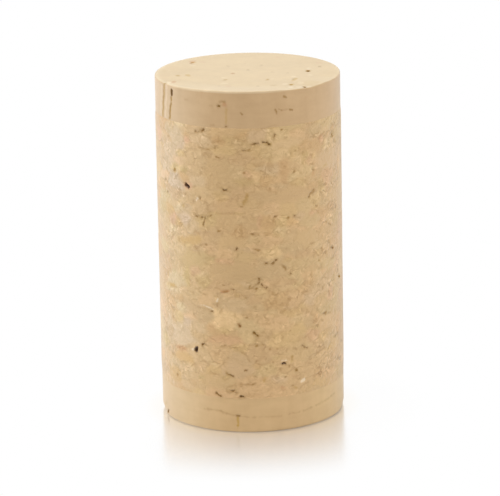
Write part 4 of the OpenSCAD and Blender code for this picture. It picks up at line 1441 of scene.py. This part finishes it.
# %% The material of the moulded body
moulded, tree = new_material("moulded_cork")
spot = place(tree)
joint = written(tree, "joint")
wander = put(tree, "TexNoise", {"Vector": spot, "Scale": 6.0 / MM, "Detail": 3.0}).outputs["Fac"]
ragged_joint = calc(tree, "ADD", joint, calc(tree, "MULTIPLY", calc(tree, "SUBTRACT", wander, 0.5), 0.12))
side = mask(tree, ragged_joint, -0.02, 0.02)
turn_there = calc(tree, "MULTIPLY", written(tree, "grain_there"), calc(tree, "SUBTRACT", 1.0, side))
turn = calc(tree, "ADD", calc(tree, "MULTIPLY", written(tree, "grain_here"), side), turn_there)
grained = use_group(tree, grain, {"Colour": written(tree, "tone", "Vector"), "Turn": turn, "Streak Size": 1.0,
                                  "Contrast": 0.12})
wrinkled = use_group(tree, wrinkles, {"Colour": grained["Colour"], "Amount": written(tree, "wrinkle")})
reach = calc(tree, "ABSOLUTE", ragged_joint)
line = mask(tree, reach, 0.22, 0.0)
patches = put(tree, "TexNoise", {"Vector": spot, "Scale": 0.45 / MM, "Detail": 2.0}).outputs["Fac"]
shown = mask(tree, written(tree, "joint_show"), 0.35, 1.0)
shown = calc(tree, "MULTIPLY", mask(tree, patches, 0.42, 0.66), shown)
line_share = calc(tree, "MULTIPLY", line, calc(tree, "ADD", calc(tree, "MULTIPLY", shown, 0.26), 0.02))
jointed = mixed(tree, line_share, wrinkled["Colour"], BARK)
marked = use_group(tree, lining, {"Colour": jointed, "Ragged": 0.5})
height = calc(tree, "ADD", grained["Height"], calc(tree, "MULTIPLY", wrinkled["Height"], 1.5))
height = calc(tree, "SUBTRACT", height, calc(tree, "MULTIPLY", line, 0.25))
cork_shader(tree, marked["Colour"], matt(tree, grained["Height"]), height, 0.03)
body.data.materials.append(moulded)
print(moulded.name, "on", body.name)

# %% [markdown]
# ## Natural cork
#
# A disc is punched from a plank, so the yearly layers lie flat in it and the side shows them as faint
# level bands. The lenticels stand upright, and give faint upright streaks and dots on the face. Both
# discs share this material, and each carries in its mesh its plank's tone, with painted highlights and
# painted shade.

# %% The cork layers group
layers, layers_in, layers_out = new_group(
    "cork_layers",
    [("Colour", "Color", (0.5, 0.3, 0.2, 1)), ("Layer Contrast", "Float", 0.03),
     ("Streak Contrast", "Float", 0.03)],
    [("Colour", "Color")],
)
in_mm = place_in_mm(layers)
flat = times(layers, in_mm, (0.30, 0.30, 0.9))
upright = times(layers, in_mm, (0.6, 0.6, 0.22))
level_bands = put(layers, "TexNoise", {"Vector": flat, "Scale": 1.0, "Detail": 3.0}).outputs["Fac"]
uprights = put(layers, "TexNoise", {"Vector": upright, "Scale": 1.3, "Detail": 3.0}).outputs["Fac"]
bands = calc(layers, "MULTIPLY", calc(layers, "SUBTRACT", level_bands, 0.5), layers_in["Layer Contrast"])
streaks = calc(layers, "MULTIPLY", calc(layers, "SUBTRACT", uprights, 0.5), layers_in["Streak Contrast"])
change = calc(layers, "MULTIPLY", calc(layers, "ADD", bands, streaks), 4.0)
layers.links.new(toned(layers, layers_in["Colour"], change), layers_out["Colour"])
print(layers.name, "holds", len(layers.nodes), "nodes")

# %% The material of the discs
natural, tree = new_material("natural_cork")
layered = use_group(tree, layers, {"Colour": written(tree, "plank_and_painted_light", "Vector"), "Layer Contrast": 0.04,
                                   "Streak Contrast": 0.04})
grained = use_group(tree, grain, {"Colour": layered["Colour"], "Turn": 0.0, "Streak Size": 0.8,
                                  "Contrast": 0.05})
marked = use_group(tree, lining, {"Colour": grained["Colour"], "Ragged": 0.5})
cork_shader(tree, marked["Colour"], matt(tree, grained["Height"]), grained["Height"], 0.02)
print(natural.name, "reads what each disc carries")

# %% [markdown]
# The upper rim gets a painted highlight, brightest at the front left, and the foot's edge gets painted shade,
# darkest towards the right. Neither has a sharp border, so they are written onto the mesh with the
# plank's own tone and the painted highlight on the left side: one material then serves both discs.

# %% Tones of the planks, with painted highlights and painted shade
DISC_TONES = {"top_disc": (0.516, 0.338, 0.172), "bottom_disc": (0.560, 0.372, 0.180)}
# what the upper face adds to red, green and blue against its side
FACE_TURN = (0.0, 0.06, -0.10)
RIM_HIGHLIGHT = (0.760, 0.640, 0.440)
FOOT_SHADE = (0.260, 0.130, 0.035)
# share of the rim's painted highlight, how far it reaches in over the face, and how much sooner it ends below
RIM_SHARE, RIM_REACH, RIM_SOONER = 0.42, 0.75, 6
# the painted highlight on the rim is brightest round this angle, and its share swings by this much round the
# axis
RIM_HIGHLIGHT_AT, RIM_SWING = math.radians(-45), 0.38
# how far up the side the painted shade at the foot reaches, in millimetres
FOOT_SHADE_REACH = 0.34
# angle, and share of the painted shade at the foot's edge there
FOOT_SHADE_SHARES = [(-90, 0.0), (-20, 0.02), (0, 0.15), (25, 0.45), (45, 0.45), (65, 0.85), (80, 0.9), (110, 0.5)]
# the lower disc is a little paler at the right, from this angle on and over this many degrees
RIGHT_TURN = (0.05, 0.075, 0.05)
RIGHT_FROM, RIGHT_OVER = 28, 25


def plank_tones(disc, node):
    """Each point's tone of cork, with a painted highlight on the upper rim and the left side, and painted
    shade at the foot's edge.
    """
    points, inward, angle = worn_points(disc, node)
    _, low, high = size_of(node)
    on_face = soft_step(inward / TOP_RIM)[:, None] * (node == "top_disc")
    tones = np.array(DISC_TONES[node]) * (1 + on_face * np.array(FACE_TURN))
    # the same painted highlight on the left side, on the side of each disc
    tones *= 1 + (1 - on_face) * paler_aside(np.degrees(angle))[:, None] * np.array(LEFT_HIGHLIGHT_TURN)
    if node == "top_disc":
        # painted highlight along the upper rim, brightest at the front left
        from_rim = np.maximum(inward, RIM_SOONER * (high - points[:, 2]))
        swing = 1 - RIM_SWING + RIM_SWING * np.cos(angle - RIM_HIGHLIGHT_AT)
        share = RIM_SHARE * soft_step(1 - from_rim / RIM_REACH) * swing
        return tones + share[:, None] * (np.array(RIM_HIGHLIGHT) - tones)
    tones *= 1 + soft_step((np.degrees(angle) - RIGHT_FROM) / RIGHT_OVER)[:, None] * np.array(RIGHT_TURN)
    # painted shade at the foot's edge, none on the left and darkest at the right
    angles, shares = zip(*FOOT_SHADE_SHARES)
    share = np.interp(np.degrees(angle), angles, shares, period=360)
    share *= soft_step(1 - (points[:, 2] - low) / FOOT_SHADE_REACH)
    return tones + share[:, None] * (np.array(FOOT_SHADE) - tones)


for disc, node in ((top_disc, "top_disc"), (bottom_disc, "bottom_disc")):
    add_values(disc.data, "plank_and_painted_light", "FLOAT_VECTOR", "POINT", plank_tones(disc, node))
    disc.data.materials.append(natural)
    print(natural.name, "on", disc.name)

# %% [markdown]
# ## Floor
#
# The stopper stands on a white, slightly glossy table that mirrors its foot. The mirror image is
# strongest at the foot and fades out within two centimetres. A real table can't fade like that, so the
# floor's material goes from mirror to plain white with the distance from the axis. Only what looks at
# the floor sees this: to the light it is plain paper, and it lights the cork no more than paper would.

# %% The floor
floor_mesh = bpy.data.meshes.new("floor")
floor_bm = bmesh.new()
bmesh.ops.create_circle(floor_bm, cap_ends=True, radius=1.5, segments=96)
floor_bm.to_mesh(floor_mesh)
floor_bm.free()
floor = bpy.data.objects.new("floor", floor_mesh)
bpy.context.scene.collection.objects.link(floor)
print("floor:", len(floor_mesh.polygons), "face")

# %% [markdown]
# The floor's white is made by emission, so that it stays white whatever the lamps do. Close to the foot
# some plain paper is mixed in, which takes the stopper's shadow, and the emitted white turns warm there as a
# painted shadow.

# %% The white table
# share and reach, from the foot's edge, of the mirror, the shadowed paper and the warm painted shadow
MIRROR, MIRROR_REACH = 0.71, 19.5 * MM
SHADOW, SHADOW_REACH = 0.12, size_of("bottom_disc")[0] * MM
CONTACT_SHADE_REACH = 2.5 * MM
WARM_CONTACT_SHADE = (1.0, 0.91, 0.76, 1)
WHITE = (1, 1, 1, 1)


def seen_directly(tree):
    """1 for what the camera, a mirror or clear glass looks at, and 0 for the light that falls on things."""
    rays = put(tree, "LightPath").outputs
    direct = calc(tree, "MAXIMUM", rays["Is Camera Ray"], rays["Is Glossy Ray"])
    return calc(tree, "MAXIMUM", direct, rays["Is Transmission Ray"])


def round_foot(tree, from_axis, share, reach, **settings):
    """This share at the foot's edge, falling to 0 at this reach from it."""
    edge = size_of("bottom_disc")[0] * MM
    return put(tree, "MapRange", {"Value": from_axis, "From Min": edge, "From Max": edge + reach,
                                  "To Min": share, "To Max": 0.0}, **settings).outputs[0]


table, tree = new_material("white_table")
from_axis = put(tree, "VectorMath", {0: place(tree)}, operation="LENGTH").outputs["Value"]
seen = seen_directly(tree)
paper = put(tree, "BsdfDiffuse", {"Color": (0.8, 0.8, 0.8, 1)}).outputs[0]
# painted shadow: the emitted white turns warm right by the foot
tint = mixed(tree, round_foot(tree, from_axis, 1.0, CONTACT_SHADE_REACH), WHITE, WARM_CONTACT_SHADE)
white = put(tree, "Emission", {"Color": tint, "Strength": 1.0}).outputs[0]
mirror = put(tree, "BsdfGlossy", {"Color": WHITE, "Roughness": 0.2}).outputs[0]
near_foot = round_foot(tree, from_axis, SHADOW, SHADOW_REACH)
top_sheet = put(tree, "MixShader", {0: near_foot, 1: white, 2: paper}).outputs[0]
fade = round_foot(tree, from_axis, MIRROR, MIRROR_REACH, interpolation_type="SMOOTHSTEP")
shine = put(tree, "MixShader", {0: fade, 1: top_sheet, 2: mirror}).outputs[0]
surface = put(tree, "MixShader", {0: seen, 1: paper, 2: shine}).outputs[0]
put(tree, "OutputMaterial", {"Surface": surface})
floor_mesh.materials.append(table)
print(table.name, "on", floor.name)

# %% [markdown]
# ## Light
#
# Soft light from all round shows the tone of the cork, and broad lamps give it form. Three stand at the
# left, one at the right and one above, which leaves the front slightly darker than the sides. The world
# lights the cork at about half strength, and is plain white to look at.

# %% The studio
WORLD_STRENGTH = 0.47
world = bpy.data.worlds.new("studio")
world.use_nodes = True
bpy.context.scene.world = world
tree = world.node_tree
tree.nodes.clear()
light = put(tree, "Background", {"Color": WHITE, "Strength": WORLD_STRENGTH}).outputs[0]
backdrop = put(tree, "Background", {"Color": WHITE, "Strength": 1.0}).outputs[0]
sky = put(tree, "MixShader", {0: seen_directly(tree), 1: light, 2: backdrop}).outputs[0]
put(tree, "OutputWorld", {"Surface": sky})
bpy.context.scene.view_settings.view_transform = "Standard"
print(world.name, "lights at", WORLD_STRENGTH)

# %% The lamps
# name: angle round the axis, height angle, diameter in metres, power in watts
LAMPS = {
    "soft_left_side": (-100, 20, 0.35, 0.98),
    "soft_left_front": (-50, 20, 0.35, 0.56),
    "soft_left_high": (-90, 55, 0.40, 1.42),
    "soft_right": (75, 20, 0.35, 1.52),
    "soft_top": (0, 88, 0.40, 0.98),
}
LAMP_AWAY = 0.6
middle = Vector((0, 0, size_of("top_disc")[2] * MM / 2))
for name, (angle, rise, diameter, power) in LAMPS.items():
    turn, tilt = math.radians(angle), math.radians(rise)
    direction = Vector((math.sin(turn) * math.cos(tilt), -math.cos(turn) * math.cos(tilt), math.sin(tilt)))
    lamp_data = bpy.data.lights.new(name, "AREA")
    lamp_data.shape = "DISK"
    lamp_data.size = diameter
    lamp_data.energy = power
    lamp = bpy.data.objects.new(name, lamp_data)
    bpy.context.scene.collection.objects.link(lamp)
    lamp.location = middle + direction * LAMP_AWAY
    lamp.rotation_euler = direction.to_track_quat("Z", "Y").to_euler()
print("lamps:", len(LAMPS))

# %% [markdown]
# ## Camera
#
# A long lens from slightly above shows the side almost without perspective, and the upper face as a
# flat ellipse. The camera looks almost at the middle of the stopper and is rolled by a degree, so the
# stopper stands a little askew in the picture.

# %% The camera
CAMERA_RISE = math.radians(15.41)
CAMERA_AWAY = 0.4333
LENS = 243.8
# small turns of the camera about its own axes
ROLL = math.radians(1.077)
DIP = math.radians(0.1338)
YAW = math.radians(0.008)

camera_data = bpy.data.cameras.new("camera")
camera_data.lens = LENS
camera_data.sensor_width = 36
camera = bpy.data.objects.new("camera", camera_data)
bpy.context.scene.collection.objects.link(camera)
back = Vector((0, -math.cos(CAMERA_RISE), math.sin(CAMERA_RISE)))
look = (-back).to_track_quat("-Z", "Y").to_matrix().to_4x4()
turn = Matrix.Rotation(-ROLL, 4, "Z") @ Matrix.Rotation(-DIP, 4, "X") @ Matrix.Rotation(YAW, 4, "Y")
camera.matrix_world = Matrix.Translation(middle + back * CAMERA_AWAY) @ look @ turn
bpy.context.scene.camera = camera
print("camera at", [round(v, 4) for v in camera.matrix_world.translation])
